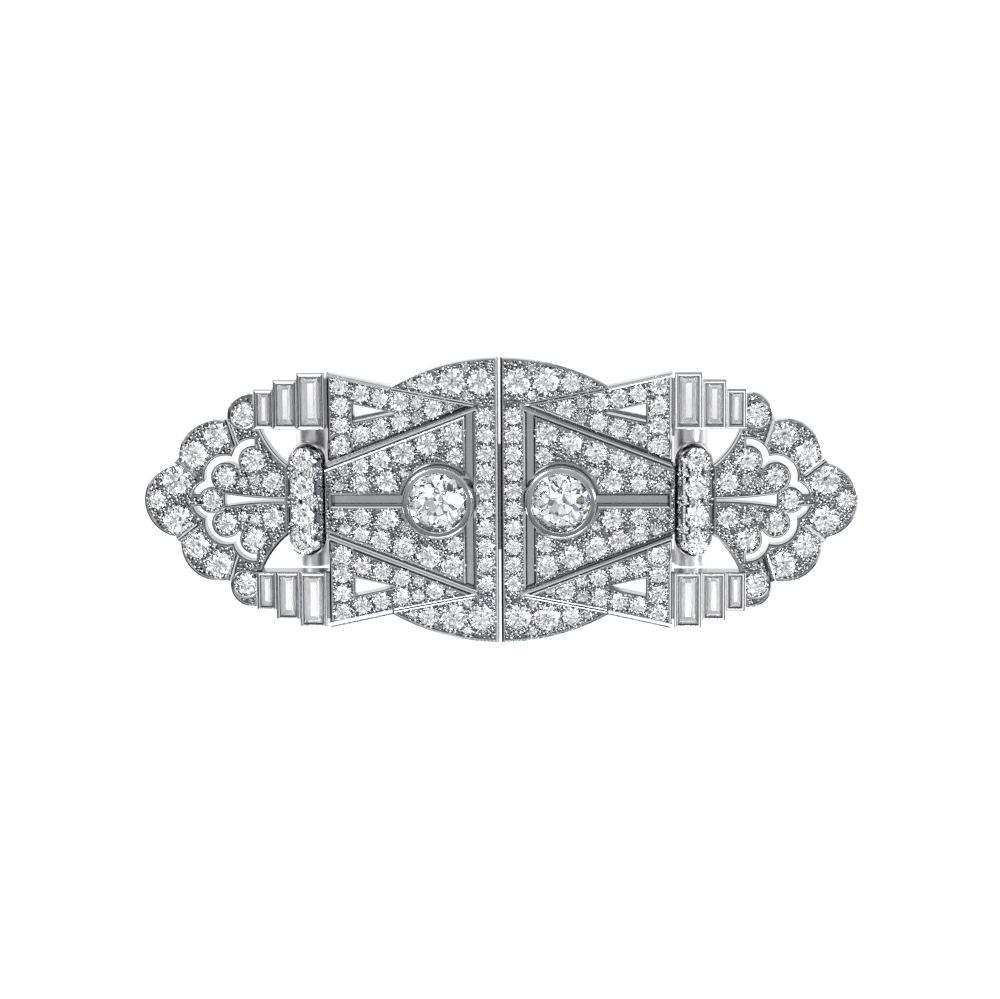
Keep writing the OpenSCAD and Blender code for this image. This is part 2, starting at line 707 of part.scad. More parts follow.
// Hooks that hold the rails, on the back of a clip
module hook(x) {
    outer_y = rail_y + rail_w / 2 + slide_clear;
    lip_y = rail_y - rail_w / 4;
    lip_z = rail_z0 - slide_clear - hook_wall;
    translate([x, outer_y, lip_z]) cube([hook_len, hook_wall, back_z + OVER - lip_z]);
    translate([x, lip_y, lip_z]) cube([hook_len, outer_y + SHOW - lip_y, hook_wall]);
}
module ear() {
    ear_r = neck_r + hinge_clear + 0.45;
    difference() {
        union() {
            translate([barrel_x - ear_r, ear_y - ear_w / 2, barrel_z])
                cube([2 * ear_r, ear_w, back_z + OVER - barrel_z]);
            translate([barrel_x, ear_y, barrel_z]) rotate([90, 0, 0])
                cylinder(r = ear_r, h = ear_w, center = true);
        }
        translate([barrel_x, ear_y, barrel_z]) rotate([90, 0, 0])
            cylinder(r = neck_r + hinge_clear, h = ear_w + 2 * SHOW, center = true);
    }
}

module clip_metal() {
    difference() {
        union() {
            slab(back_z, face_z) both_halves() centre_outline();
            // Low web that carries the baguette frames on the arm
            both_halves() slab(back_z, groove_z)
                translate([field_x1 - OVER, baguette_inner_y + rim])
                    square([baguette_gap + 2 * OVER, baguette_h - 3 * rim]);
            slab(back_z, shell_z) difference() {
                both_halves() shell_blank();
                both_halves() { shell_slot(); shell_bay(); dart(); }
            }
            both_halves() for (b = BAGUETTES) baguette_frame(b);
        }
        both_halves() groove_cuts();
        both_halves() for (b = BAGUETTES) baguette_seat(b);
        slab(back_z - OVER, bezel_z) both_halves() window_outline();
        seats(concat(strip_stones, crescent_stones, arm_stones, field_stones), face_z);
        seats(concat(shell_stones, border_stones), shell_z);
        translate([main_x, 0, back_z - OVER]) cylinder(r = main_d * hole_share, h = plate_t + 2 * OVER);
        translate([roll_x0, -roll_half_len, back_z]) cube([roll_w, 2 * roll_half_len, plate_t]);
    }
    both_halves() ridge();
    difference() {
        union() {
            translate([main_x, 0, groove_z - SHOW])
                cylinder(r1 = bezel_foot_r, r2 = bezel_top_r, h = bezel_z - groove_z + SHOW);
            roll_body();
        }
        translate([main_x, 0, bezel_z - bezel_sink]) seat(main_d, bezel_z - back_z, OVER + bezel_sink);
        for (s = roll_stones) on_roll(s) seat(s[2], s[2] * 0.6, OVER + girdle_sink);
        flutes();
    }
    both_halves() { hook(hook_inner_x); hook(hook_outer_x); ear(); }
}
// Flap: a hinge barrel with necks for the ears, and two prongs that bow down to the resting plane
module clip_flap() {
    translate([barrel_x, 0, barrel_z]) rotate([90, 0, 0]) {
        cylinder(r = neck_r, h = 2 * barrel_half_len, center = true);
        cylinder(r = barrel_r, h = 2 * (ear_y - ear_w / 2 - hinge_clear), center = true);
    }
    both_halves() {
        neck_end = ear_y + ear_w / 2 + hinge_clear;
        translate([barrel_x, neck_end, barrel_z]) rotate([-90, 0, 0])
            cylinder(r = barrel_r, h = barrel_half_len - neck_end);
        translate([barrel_x, prong_root_y, 0]) rotate([0, 0, 180 - prong_spread]) prong();
    }
}
// Prong, seen from the side: down from the barrel, flat on the resting plane, then up to its point
module prong() {
    n = 10;
    flat0 = prong_len * 0.42;
    flat1 = prong_len * 0.62;
    root_z = barrel_z;
    function mid(x) =
        x < flat0 ? prong_t / 2 + (root_z - prong_t / 2) * (1 - x / flat0) ^ 2 :
        x < flat1 ? prong_t / 2 :
        prong_t / 2 + (prong_point_h - prong_t / 2) * ((x - flat1) / (prong_len - flat1)) ^ 2;
    stops = concat(
        [for (i = [0:n - 1]) flat0 * i / n], [flat0, flat1],
        [for (i = [1:n]) flat1 + (prong_len - flat1) * i / n]
    );
    rotate([90, 0, 0]) linear_extrude(prong_w, center = true) polygon(concat(
        [for (x = stops) [x, mid(x) - prong_t / 2]],
        [for (i = [len(stops) - 1:-1:0]) [stops[i], mid(stops[i]) + prong_t / 2]]
    ));
}

// Frame: two rails, three crossbars, the pin's block and its catch
block_x = rail_reach - crossbar_w / 2;
eye_r = 0.95;
module brooch_frame() {
    slab(rail_z0, rail_z1) {
        for (y = [-rail_y, rail_y]) translate([-rail_reach, y - rail_w / 2]) square([2 * rail_reach, rail_w]);
        for (x = [-block_x, 0, block_x])
            translate([x - crossbar_w / 2, -rail_y]) square([crossbar_w, 2 * rail_y]);
    }
    // Block with two cheeks around the pin's eye, and the rivet across it
    cheek_w = (block_w - pin_d - 2 * slide_clear) / 2;
    cheek_z = pin_z - eye_r + slide_clear;
    for (y = [-block_w / 2, block_w / 2 - cheek_w])
        translate([-block_x - eye_r, y, cheek_z]) cube([2 * eye_r, cheek_w, rail_z0 + SHOW - cheek_z]);
    translate([-block_x, 0, pin_z]) rotate([90, 0, 0])
        cylinder(r = pin_d / 2, h = block_w - SHOW, center = true);
    // Catch: a hook that is open on one side
    catch_r = pin_d / 2 + slide_clear;
    catch_half_w = catch_r + hook_wall;
    catch_x = block_x - crossbar_w / 2;
    catch_z = pin_z - catch_half_w + slide_clear;
    difference() {
        translate([catch_x, -catch_half_w, catch_z])
            cube([crossbar_w, 2 * catch_half_w, rail_z0 + SHOW - catch_z]);
        translate([catch_x - SHOW, 0, pin_z]) rotate([0, 90, 0])
            cylinder(r = catch_r, h = crossbar_w + 2 * SHOW);
        translate([catch_x - SHOW, 0, pin_z - catch_r])
            cube([crossbar_w + 2 * SHOW, catch_half_w + SHOW, 2 * catch_r]);
    }
}

// Pin: an eye around the rivet, a straight stem and a point past the catch
module pin_stem() {
    point_len = 2;
    stem_x1 = block_x - crossbar_w / 2 + 0.4;
    translate([-block_x, 0, pin_z]) difference() {
        union() {
            rotate([90, 0, 0]) cylinder(r = eye_r, h = pin_d, center = true);
            rotate([0, 90, 0]) cylinder(r = pin_d / 2, h = block_x + stem_x1);
        }
        rotate([90, 0, 0]) cylinder(r = pin_d / 2 + hinge_clear, h = pin_d + 2 * SHOW, center = true);
    }
    translate([stem_x1, 0, pin_z]) rotate([0, 90, 0]) cylinder(r1 = pin_d / 2, r2 = 0.08, h = point_len);
}

function pave_stones(p) =
    p == "strip" ? strip_stones : p == "crescents" ? crescent_stones : p == "arms" ? arm_stones :
    p == "field" ? field_stones : shell_stones;
module pave(p) {
    if (p == "roll") for (s = roll_stones) on_roll(s) single_cut(s[2]);
    else for (s = pave_stones(p))
        translate([s.x, s.y, (p == "shell" ? shell_z : face_z) - girdle_sink]) single_cut(s.z);
}
module main_stone() {
    translate([main_x, 0, bezel_z - bezel_sink]) brilliant(main_d);
}
module baguette(b) {
    translate([frame_x(b) + frame_w(b) / 2, baguette_inner_y + frame_h(b) / 2, baguette_z(b) - girdle_sink])
        step_cut(bag_w(b), bag_h(b));
}
module border_stone(i) {
    s = border_stones[i];
    translate([s.x, s.y, shell_z - girdle_sink]) brilliant(s.z);
}

for (s = SIDES) {
    color("lightsteelblue") on_side(s) clip_metal();
    color("silver") on_side(s) clip_flap();
    color("white") on_side(s) main_stone();
    for (h = HALVES, b = BAGUETTES)
        color("aliceblue") on_side(s) on_half(h) baguette(b);
    for (b = [1:BORDER_COUNT])
        color("azure") on_side(s) border_stone(b - 1);
    for (p = PAVE)
        color("whitesmoke") on_side(s) pave(p);
}
color("silver") brooch_frame();
color("gainsboro") pin_stem();
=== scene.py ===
"""Looks of the double clip brooch: cut stones, metal grains, edges and finishes around the CAD frame."""
import itertools
import json
import math
import random

import bpy
import numpy as np
from mathutils import Matrix, Vector
from mathutils.bvhtree import BVHTree


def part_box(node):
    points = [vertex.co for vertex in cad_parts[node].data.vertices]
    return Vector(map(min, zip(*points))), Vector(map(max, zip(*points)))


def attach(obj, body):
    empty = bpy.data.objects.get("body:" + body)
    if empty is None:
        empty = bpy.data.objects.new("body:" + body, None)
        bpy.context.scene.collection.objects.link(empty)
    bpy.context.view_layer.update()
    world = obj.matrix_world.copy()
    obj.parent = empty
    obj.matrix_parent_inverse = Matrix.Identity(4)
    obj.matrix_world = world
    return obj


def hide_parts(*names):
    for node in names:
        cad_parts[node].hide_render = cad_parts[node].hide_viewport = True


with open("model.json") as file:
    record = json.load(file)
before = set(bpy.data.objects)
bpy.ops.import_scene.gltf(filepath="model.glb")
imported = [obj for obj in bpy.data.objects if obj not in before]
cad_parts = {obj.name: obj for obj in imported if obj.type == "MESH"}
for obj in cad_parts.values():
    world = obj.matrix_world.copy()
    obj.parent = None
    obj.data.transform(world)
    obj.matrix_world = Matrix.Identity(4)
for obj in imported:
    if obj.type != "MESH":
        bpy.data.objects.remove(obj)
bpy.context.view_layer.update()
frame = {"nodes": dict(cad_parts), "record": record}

MM = 0.001
SIDES = ("left", "right")
SIGNS = (1, -1)
# Distance under which two places are one, and the digits that places are rounded to before they are merged
SAME_PLACE, PLACE_DIGITS = 1e-6, 7
DOWN = Vector((0, 0, -1))
UP = np.array([0, 0, 1.0])
scene = bpy.context.scene

# Camera: over the face, tilted towards the upper edge and a little to the right. It sees from 1 cm to 20 m
SENSOR_MM, LENS_MM = 36, 100
VIEW_WIDTH = 90 * MM
VIEW_TARGET = Vector((0, 0, 6 * MM))
VIEW_TILT_X, VIEW_TILT_Y = math.radians(2.5), math.radians(8.5)
NEAREST, FARTHEST = 0.01, 20


def make_camera():
    data = bpy.data.cameras.new("camera")
    camera = bpy.data.objects.new("camera", data)
    scene.collection.objects.link(camera)
    data.sensor_width = SENSOR_MM
    data.lens = LENS_MM
    distance = VIEW_WIDTH * LENS_MM / SENSOR_MM
    back = Vector((math.sin(VIEW_TILT_X), math.sin(VIEW_TILT_Y), 1)).normalized()
    right = Vector((1, 0, 0))
    right = (right - back * right.dot(back)).normalized()
    camera.location = VIEW_TARGET + back * distance
    camera.rotation_mode = "QUATERNION"
    camera.rotation_quaternion = Matrix((right, back.cross(right), back)).transposed().to_quaternion()
    data.clip_start, data.clip_end = NEAREST, FARTHEST
    scene.camera = camera


make_camera()

# Materials
# Numbers of the colour mixing node's sockets, which share their names with others
MIX_SHARE, MIX_A, MIX_B, MIX_RESULT = 0, 6, 7, 2


class Nodes:
    """Short way to write a node tree."""

    def __init__(self, tree):
        self.tree = tree
        tree.nodes.clear()

    def add(self, kind, links=(), **values):
        """A node, with values for its settings or sockets by name and links as (socket, output)."""
        node = self.tree.nodes.new(kind)
        for name, value in values.items():
            if hasattr(node, name):
                setattr(node, name, value)
            else:
                node.inputs[name.replace("_", " ")].default_value = value
        for name, output in dict(links).items():
            self.tree.links.new(output, node.inputs[name])
        return node

    def ramp(self, source, stops):
        """Colours for a value, from (place, grey or colour) stops."""
        node = self.add("ShaderNodeValToRGB", {"Fac": source})
        while len(node.color_ramp.elements) < len(stops):
            node.color_ramp.elements.new(0.5)
        for element, (place, colour) in zip(node.color_ramp.elements, stops):
            element.position = place
            element.color = (*colour, 1) if isinstance(colour, tuple) else (colour, colour, colour, 1)
        return node.outputs["Color"]

    def noise(self, place, scale, detail, roughness=0.5):
        values = {"Scale": scale, "Detail": detail, "Roughness": roughness}
        return self.add("ShaderNodeTexNoise", {"Vector": place}, **values).outputs["Fac"]

    def part(self, vector, axis):
        """One axis of a vector."""
        return self.add("ShaderNodeSeparateXYZ", {"Vector": vector}).outputs[axis]

    def blend(self, a, b, share=None):
        """Colour a times colour b, or only a share of the way there."""
        node = self.add("ShaderNodeMix", data_type="RGBA", blend_type="MULTIPLY")
        node.inputs[MIX_SHARE].default_value = 1
        for socket, output in ((MIX_SHARE, share), (MIX_A, a), (MIX_B, b)):
            if output is not None:
                self.tree.links.new(output, node.inputs[socket])
        return node.outputs[MIX_RESULT]

    def product(self, a, b):
        return self.add("ShaderNodeMath", {0: a, 1: b}, operation="MULTIPLY").outputs[0]

    def passes(self, value, limit, operation):
        """1 where the value passes the limit."""
        node = self.add("ShaderNodeMath", {0: value}, operation=operation)
        node.inputs[1].default_value = limit
        return node.outputs[0]

    def bump(self, height, strength, depth, normal=None):
        links = {"Height": height} if normal is None else {"Height": height, "Normal": normal}
        return self.add("ShaderNodeBump", links, Strength=strength, Distance=depth).outputs["Normal"]


def new_material(name):
    """A material with an empty node tree."""
    material = bpy.data.materials.new(name)
    material.use_nodes = True
    return material, Nodes(material.node_tree)


# Metal: scales of the clouds, ripples and small cuts, then depths of the ripples and scratches
CLOUD_SCALE, RIPPLE_SCALE, CUT_SCALE = 260.0, 900.0, 3400.0
RIPPLE_DEPTH, SCRATCH_DEPTH = 0.06 * MM, 0.02 * MM
# Shade of the clouds, and values of the noise where clouds and scratches start and end
CLOUD_SHADE = 0.88
NOISE_LOW, NOISE_HIGH = 0.3, 0.7
# Upward share of a face's normal where a wall has its full painted shade, and where it is no longer a wall
WALL_UP, SLOPE_UP = 0.08, 0.42
# Heights between which level faces carry stones, how level they are, and the painted shade that darkens them
SET_HEIGHTS = (6.3 * MM, 6.75 * MM)
SET_LEVEL, SET_PAINTED_SHADE = 0.9, 0.26
# Painted shade on sunk floors: the height under which it is full, the height where it ends, and the shade
SUNK_HEIGHTS, SUNK_PAINTED_SHADE = (5.9 * MM, 6.2 * MM), 0.85
# Stones: scale of their faint clouds, values of the noise where they start and end, and refractive index
STONE_CLOUD_SCALE, STONE_INDEX = 900.0, 2.42
STONE_LOW, STONE_HIGH = 0.35, 0.65


def paint_set_face_shade(nodes, place, facing, colour, normal, depth):
    """Colour and normal: painted shade on the level faces round the stones, which also get small cuts, and on
    sunk floors.
    """
    height = nodes.part(place, "Z")
    # Metal below these heights darkened: painted shade on sunk floors
    floors = nodes.add(
        "ShaderNodeMapRange", {"Value": height},
        From_Min=SUNK_HEIGHTS[0], From_Max=SUNK_HEIGHTS[1], To_Min=SUNK_PAINTED_SHADE,
    )
    colour = nodes.blend(colour, floors.outputs["Result"])
    # Level faces round the stones darkened: painted shade
    above = nodes.passes(height, SET_HEIGHTS[0], "GREATER_THAN")
    below = nodes.passes(height, SET_HEIGHTS[1], "LESS_THAN")
    level = nodes.passes(facing, SET_LEVEL, "GREATER_THAN")
    inside = nodes.product(nodes.product(above, below), level)
    shade = nodes.add("ShaderNodeMapRange", {"Value": inside}, To_Min=1.0, To_Max=SET_PAINTED_SHADE)
    colour = nodes.blend(colour, shade.outputs["Result"])
    cells = nodes.add("ShaderNodeTexVoronoi", {"Vector": place}, Scale=CUT_SCALE, Randomness=1.0)
    return colour, nodes.bump(nodes.product(cells.outputs["Distance"], inside), 1.0, depth, normal)


def platinum(name, tint, rough, scratches, scratch_bump, ripple=0.0, wall=1.0, cuts=0.0):
    """Metal with soft colour changes, fine scratches and slow ripples left by hand finishing. rough is its
    least and greatest roughness, scratches the scale of its scratches, scratch_bump and ripple how strong the
    scratches and ripples are, wall the painted shade of its steep walls, and cuts the depth of the small cuts
    on its set faces. With cuts, the set faces and sunk floors also get painted shade."""
    material, nodes = new_material(name)
    place = nodes.add("ShaderNodeTexCoord").outputs["Object"]
    facing = nodes.part(nodes.add("ShaderNodeNewGeometry").outputs["True Normal"], "Z")
    cloud = nodes.noise(place, CLOUD_SCALE, detail=4.0, roughness=0.6)
    fine = nodes.noise(place, scratches, detail=5.0, roughness=0.65)
    clouded = tuple(c * CLOUD_SHADE for c in tint)
    colour = nodes.ramp(cloud, [(NOISE_LOW, clouded), (NOISE_HIGH, tint)])
    shine = nodes.ramp(fine, [(NOISE_LOW, rough[0]), (NOISE_HIGH, rough[1])])
    normal = nodes.bump(nodes.noise(place, RIPPLE_SCALE, detail=1.0), ripple, RIPPLE_DEPTH)
    # Steep walls darker by how they face: painted shade
    colour = nodes.blend(colour, nodes.ramp(facing, [(WALL_UP, wall), (SLOPE_UP, 1.0)]))
    if cuts:
        colour, normal = paint_set_face_shade(nodes, place, facing, colour, normal, cuts)
    normal = nodes.bump(fine, scratch_bump, SCRATCH_DEPTH, normal)
    links = {"Base Color": colour, "Roughness": shine, "Normal": normal}
    shader = nodes.add("ShaderNodeBsdfPrincipled", links, Metallic=1.0)
    nodes.add("ShaderNodeOutputMaterial", {"Surface": shader.outputs["BSDF"]})
    return material


def diamond(name, tint, clear):
    """Clear stone of high index, with faint clouds of colour. The share that isn't clear scatters light."""
    material, nodes = new_material(name)
    place = nodes.add("ShaderNodeTexCoord").outputs["Object"]
    pale = tuple(0.5 + c / 2 for c in tint)
    cloud = nodes.noise(place, STONE_CLOUD_SCALE, detail=2.0)
    colour = nodes.ramp(cloud, [(STONE_LOW, tint), (STONE_HIGH, pale)])
    shader = nodes.add(
        "ShaderNodeBsdfPrincipled", {"Base Color": colour},
        Roughness=0.0, IOR=STONE_INDEX, Transmission_Weight=clear,
    )
    nodes.add("ShaderNodeOutputMaterial", {"Surface": shader.outputs["BSDF"]})
    return material


# Metals as name, tint, roughness, scale and strength of the scratches, and stones as name, tint and clearness
POLISHED = platinum(
    "polished_platinum", (0.80, 0.81, 0.83), (0.07, 0.15), 5000.0, 0.08,
    ripple=0.10, wall=0.42, cuts=0.11 * MM,
)
SATIN = platinum("satin_platinum", (0.82, 0.82, 0.84), (0.34, 0.46), 7000.0, 0.12, ripple=0.12, wall=0.75)
# Darker copy of the satin metal for the frame under the clips: painted shade
BACK = platinum("frame_platinum", (0.58, 0.58, 0.60), (0.22, 0.34), 7000.0, 0.08, ripple=0.10, wall=0.5)
# Lighter copy of the polished metal for edge lines and grains: painted highlight
BRIGHT = platinum("bright_edges", (0.90, 0.91, 0.93), (0.05, 0.12), 5000.0, 0.05, ripple=0.05, wall=0.30)
# Darker copy of the polished metal for rims, bars and bezel edges: painted shade
RIMMED = platinum("rim_platinum", (0.58, 0.59, 0.61), (0.06, 0.14), 5000.0, 0.08, ripple=0.08, wall=0.30)
# Very dark copy of the metal for the cut collars round the stones: painted shade
PAINTED_SHADE_CUTS = platinum("painted_shade_cut_platinum", (0.25, 0.255, 0.27), (0.05, 0.14), 5000.0, 0.05, ripple=0.05)
# Dark copy of the metal for painted shade: strips beside ridges, under bars, on bevels, bezel tops, flutes
SHADED = platinum("shaded_platinum", (0.38, 0.385, 0.40), (0.12, 0.22), 5000.0, 0.05, ripple=0.05)
STEEL = platinum("pin_steel", (0.72, 0.73, 0.75), (0.10, 0.20), 9000.0, 0.10, ripple=0.05)
CLEAR = diamond("clear_diamond", (0.97, 0.98, 1.0), 0.97)
STEP_CLEAR = diamond("step_diamond", (0.98, 0.985, 0.99), 0.84)
FINISHES = {
    "platinum": POLISHED, "platinum_back": SATIN, "pin_steel": STEEL,
    "diamond": CLEAR, "pave_diamond": CLEAR, "baguette_diamond": STEP_CLEAR,
}


# Pieces
def make_piece(name, points, faces, material, body, smooth=False, replaced=()):
    """Mesh object in the frame's metres, that rides on a body."""
    mesh = bpy.data.meshes.new(name)
    mesh.from_pydata([tuple(p) for p in points], [], faces)
    mesh.materials.append(material)
    mesh.polygons.foreach_set("use_smooth", [smooth] * len(mesh.polygons))
    mesh.update()
    piece = bpy.data.objects.new(name, mesh)
    scene.collection.objects.link(piece)
    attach(piece, body)
    if replaced:
        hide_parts(*replaced)


class Parts:
    """Gathers many small shapes into one mesh."""

    def __init__(self):
        self.points, self.faces = [], []

    def add(self, points, faces):
        start = len(self.points)
        self.points.extend(points)
        self.faces.extend([tuple(i + start for i in f) for f in faces])


def around(radius, degrees, z):
    """Point on a circle about the upright axis."""
    a = math.radians(degrees)
    return np.array([radius * math.cos(a), radius * math.sin(a), z])


def merged(mesh):
    """The mesh's points, each place once, and for each vertex the number of its place."""
    points = np.array([v.co for v in mesh.vertices], float)
    places, index = np.unique(np.round(points, PLACE_DIGITS), axis=0, return_inverse=True)
    return places, index.ravel()


# Cut stones: the convex solid inside a set of planes, each a unit normal and its distance
# How far a corner may lie past a plane, how near to it a corner of its facet lies, digits of the corners
TOLERANCE, ON_PLANE, CORNER_DIGITS = 1e-7, 1e-5, 6
# A way that no facet faces
ODD_WAY = [0.31, 0.57, 0.76]


def through(a, b, c):
    """Plane through three points, its normal pointing away from the stone's middle."""
    n = np.cross(np.subtract(b, a), np.subtract(c, a))
    n = n / np.linalg.norm(n)
    d = float(n @ np.array(a))
    return (n, d) if d > 0 else (-n, -d)


def tilted(degrees_from_up, azimuth, point):
    """Plane through a point, with its normal at an angle from upright."""
    n = around(math.sin(math.radians(degrees_from_up)), azimuth, math.cos(math.radians(degrees_from_up)))
    return n, float(n @ point)


def solid_inside(planes):
    """Points and faces of the convex solid inside the planes."""
    normals = np.array([p[0] for p in planes])
    reach = np.array([p[1] for p in planes])
    triples = np.array(list(itertools.combinations(range(len(planes)), 3)))
    matrices = normals[triples]
    good = np.abs(np.linalg.det(matrices)) > TOLERANCE
    found = np.linalg.solve(matrices[good], reach[triples[good]][..., None])[..., 0]
    inside = (found @ normals.T <= reach + TOLERANCE).all(axis=1)
    corners = np.unique(np.round(found[inside], CORNER_DIGITS), axis=0)
    faces = []
    for n, d in zip(normals, reach):
        on = np.nonzero(np.abs(corners @ n - d) < ON_PLANE)[0]
        if len(on) < 3:
            continue
        middle = corners[on].mean(axis=0)
        side = np.cross(n, ODD_WAY)
        side /= np.linalg.norm(side)
        other = np.cross(n, side)
        turn = np.arctan2((corners[on] - middle) @ other, (corners[on] - middle) @ side)
        faces.append(tuple(on[np.argsort(turn)]))
    return corners, faces


# Sides of a brilliant's girdle, main facets round a stone, and their step in degrees
GIRDLE_SIDES = 32
FACETS = 8
FACET_STEP = 360 / FACETS


def brilliant(table, crown, pavilion, star, lower, culet, girdle=0.012):
    """Round brilliant of diameter 1. table is its share of the width, crown and pavilion are angles, star and
    lower are how far the star and lower girdle facets reach, and culet is the culet's radius."""
    rise, drop = math.tan(math.radians(crown)), math.tan(math.radians(pavilion))
    top = girdle + (0.5 - table / 2) * rise
    depth = girdle + 0.5 * drop
    planes = [(UP, top), (-UP, depth - culet * drop)]
    step = 360 / GIRDLE_SIDES
    for i in range(GIRDLE_SIDES):
        planes.append((around(1, (i + 0.5) * step, 0), 0.5 * math.cos(math.radians(step / 2))))
    half = math.cos(math.radians(FACET_STEP / 2))
    for i in range(FACETS):
        a = i * FACET_STEP
        between, after = a + FACET_STEP / 2, a + FACET_STEP
        planes.append(tilted(crown, a, around(0.5, a, girdle)))
        planes.append(tilted(180 - pavilion, a, around(0.5, a, -girdle)))
        z = girdle + (top - girdle) * (1 - star)
        p = around((0.5 - (z - girdle) / rise) / half, between, z)
        planes.append(through(around(table / 2, a, top), around(table / 2, after, top), p))
        z = -girdle - (depth - girdle) * lower
        q = around((0.5 - (-z - girdle) / drop) / half, between, z)
        for b in (a, after):
            planes.append(through(around(0.5, b, girdle), around(0.5, between, girdle), p))
            planes.append(through(around(0.5, b, -girdle), around(0.5, between, -girdle), q))
    return solid_inside(planes)


def single_cut(table, crown, pavilion, girdle=0.02):
    """Small round stone of diameter 1 with eight facets above and below."""
    planes = [(UP, girdle + (0.5 - table / 2) * math.tan(math.radians(crown)))]
    for i in range(FACETS):
        a = i * FACET_STEP
        planes.append((around(1, a, 0), 0.5))
        planes.append((around(1, a + FACET_STEP / 2, 0), 0.5))
        planes.append(tilted(crown, a, around(0.5, a, girdle)))
        planes.append(tilted(180 - pavilion, a, around(0.5, a, -girdle)))
    return solid_inside(planes)


OLD_CUT = brilliant(table=0.46, crown=33, pavilion=42, star=0.42, lower=0.62, culet=0.035)
FINE_CUT = brilliant(table=0.54, crown=32, pavilion=40.5, star=0.5, lower=0.7, culet=0.012)
SMALL_CUT = single_cut(table=0.52, crown=31, pavilion=40)
# Diameter from which a stone has the fine cut, how far small stones stand out, and how far stones lean
FINE_FROM = 1.45 * MM
SMALL_LIFT = 0.03 * MM
SMALL_LEAN, MAIN_LEAN = 0.07, 0.01
# Share of a CAD stone's greatest radius from which a point lies on its girdle, and digits for sorting stones
AT_GIRDLE, SORT_DIGITS = 0.995, 5
# A clip's nodes of round stones
BORDER_STONES = 9
PAVE = ("strip", "crescents", "arms", "field", "roll", "shell")
# Start of the random draws for leans and turns
STONE_SEED = 7


def point_groups(mesh):
    """The places of a mesh's points, split into its separate shells."""
    places, index = merged(mesh)
    parent = list(range(len(places)))

    def root(i):
        while parent[i] != i:
            parent[i] = parent[parent[i]]
            i = parent[i]
        return i

    for polygon in mesh.polygons:
        first, *rest = [root(index[v]) for v in polygon.vertices]
        for r in rest:
            parent[root(r)] = root(first)
    groups = {}
    for i in range(len(places)):
        groups.setdefault(root(i), []).append(i)
    return [places[members] for members in groups.values()]


def loose_stones(node):
    """Each stone of a CAD node as (centre at the girdle, axis, diameter)."""
    stones = []
    for points in point_groups(frame["nodes"][node].data):
        from_centre = points - points.mean(axis=0)
        axis = UP
        if "roll" in node:
            # A round stone spreads alike in two directions, and the third is its axis
            spread, axes = np.linalg.eigh(np.cov(from_centre.T))
            axis = axes[:, 0 if abs(spread[1] - spread[0]) > abs(spread[2] - spread[1]) else 2]
            axis = axis if axis[2] > 0 else -axis
        height = from_centre @ axis
        radius = np.linalg.norm(from_centre - np.outer(height, axis), axis=1)
        girdle = height[radius > radius.max() * AT_GIRDLE].mean()
        stones.append((points.mean(axis=0) + axis * girdle, axis, 2 * radius.max()))
    return sorted(stones, key=lambda s: tuple(np.round(s[0], SORT_DIGITS)))


def set_stone(parts, shape, centre, axis, diameter, turn):
    """Adds a stone of unit diameter at its place."""
    side = np.cross(axis, [0, 1, 0])
    side /= np.linalg.norm(side)
    other = np.cross(axis, side)
    c, s = math.cos(turn), math.sin(turn)
    x, y = side * c + other * s, -side * s + other * c
    points, faces = shape
    parts.add([centre + (x * p[0] + y * p[1] + axis * p[2]) * diameter for p in points], faces)


def cut_round_stones(side, draw):
    """Cut stones in place of a clip's round CAD stones. Gives each as (centre, axis, diameter, node)."""
    slots = {f"pave_{p}_{side}": "pave_diamond" for p in PAVE}
    slots |= {f"border_stone_{side}_{i + 1}": "diamond" for i in range(BORDER_STONES)}
    slots[f"main_stone_{side}"] = "diamond"
    placed = []
    for node, slot in slots.items():
        main = "main" in node
        lift, lean = (0.0, MAIN_LEAN) if main else (SMALL_LIFT, SMALL_LEAN)
        parts = Parts()
        for centre, axis, diameter in loose_stones(node):
            shape = OLD_CUT if main else FINE_CUT if diameter >= FINE_FROM else SMALL_CUT
            leant = axis + np.array([draw.uniform(-lean, lean), draw.uniform(-lean, lean), 0])
            leant /= np.linalg.norm(leant)
            set_stone(parts, shape, centre + axis * lift, leant, diameter, draw.uniform(0, math.tau))
            placed.append((centre, axis, diameter, node))
        make_piece(
            node.replace("pave", "cut_pave").replace("stone", "cut_stone"),
            parts.points, parts.faces, FINISHES[slot], "clip_" + side, replaced=[node],
        )
    return placed


stone_draw = random.Random(STONE_SEED)
stones_of = {side: cut_round_stones(side, stone_draw) for side in SIDES}

# Step cut: rows of facets, from the girdle outwards, as (angle, share of the height where the row starts)
CROWN_ROWS = ((38, 0.0), (30, 0.5))
PAVILION_ROWS = ((60, 0.0), (47.5, 0.25), (46, 0.6))
# Share of a CAD baguette above its girdle, and how much of its crown and pavilion the cut stone fills
CAD_CROWN = 0.19 / 0.69
CROWN_FILL, PAVILION_FILL = 0.45, 0.86


def row_starts(rows, girdle, height):
    """Each row of facets as its angle, and the inset and distance from the girdle's plane where it starts."""
    starts, inset, reached = [], 0, girdle
    for angle, share in rows:
        level = girdle + share * (height - girdle)
        if starts:
            inset += (level - reached) / math.tan(math.radians(starts[-1][0]))
        starts.append((angle, inset, level))
        reached = level
    return starts


def step_cut(width, height, top, bottom, girdle=0.02):
    """Step cut stone: rows of facets round a rectangle, from the table to the keel."""
    planes = [(UP, top), (-UP, bottom)]
    rows = [(1, *row) for row in row_starts(CROWN_ROWS, girdle, top)]
    rows += [(-1, *row) for row in row_starts(PAVILION_ROWS, girdle, bottom)]
    for (x, y), half in (((1, 0), width / 2), ((0, 1), height / 2)):
        for sign in SIGNS:
            outward = np.array([x * sign, y * sign, 0.0])
            planes.append((outward, half))
            for way, angle, inset, level in rows:
                across, along = math.sin(math.radians(angle)), math.cos(math.radians(angle))
                reach = (half - inset) * across + level * along
                planes.append((outward * across + UP * way * along, reach))
    return solid_inside(planes)


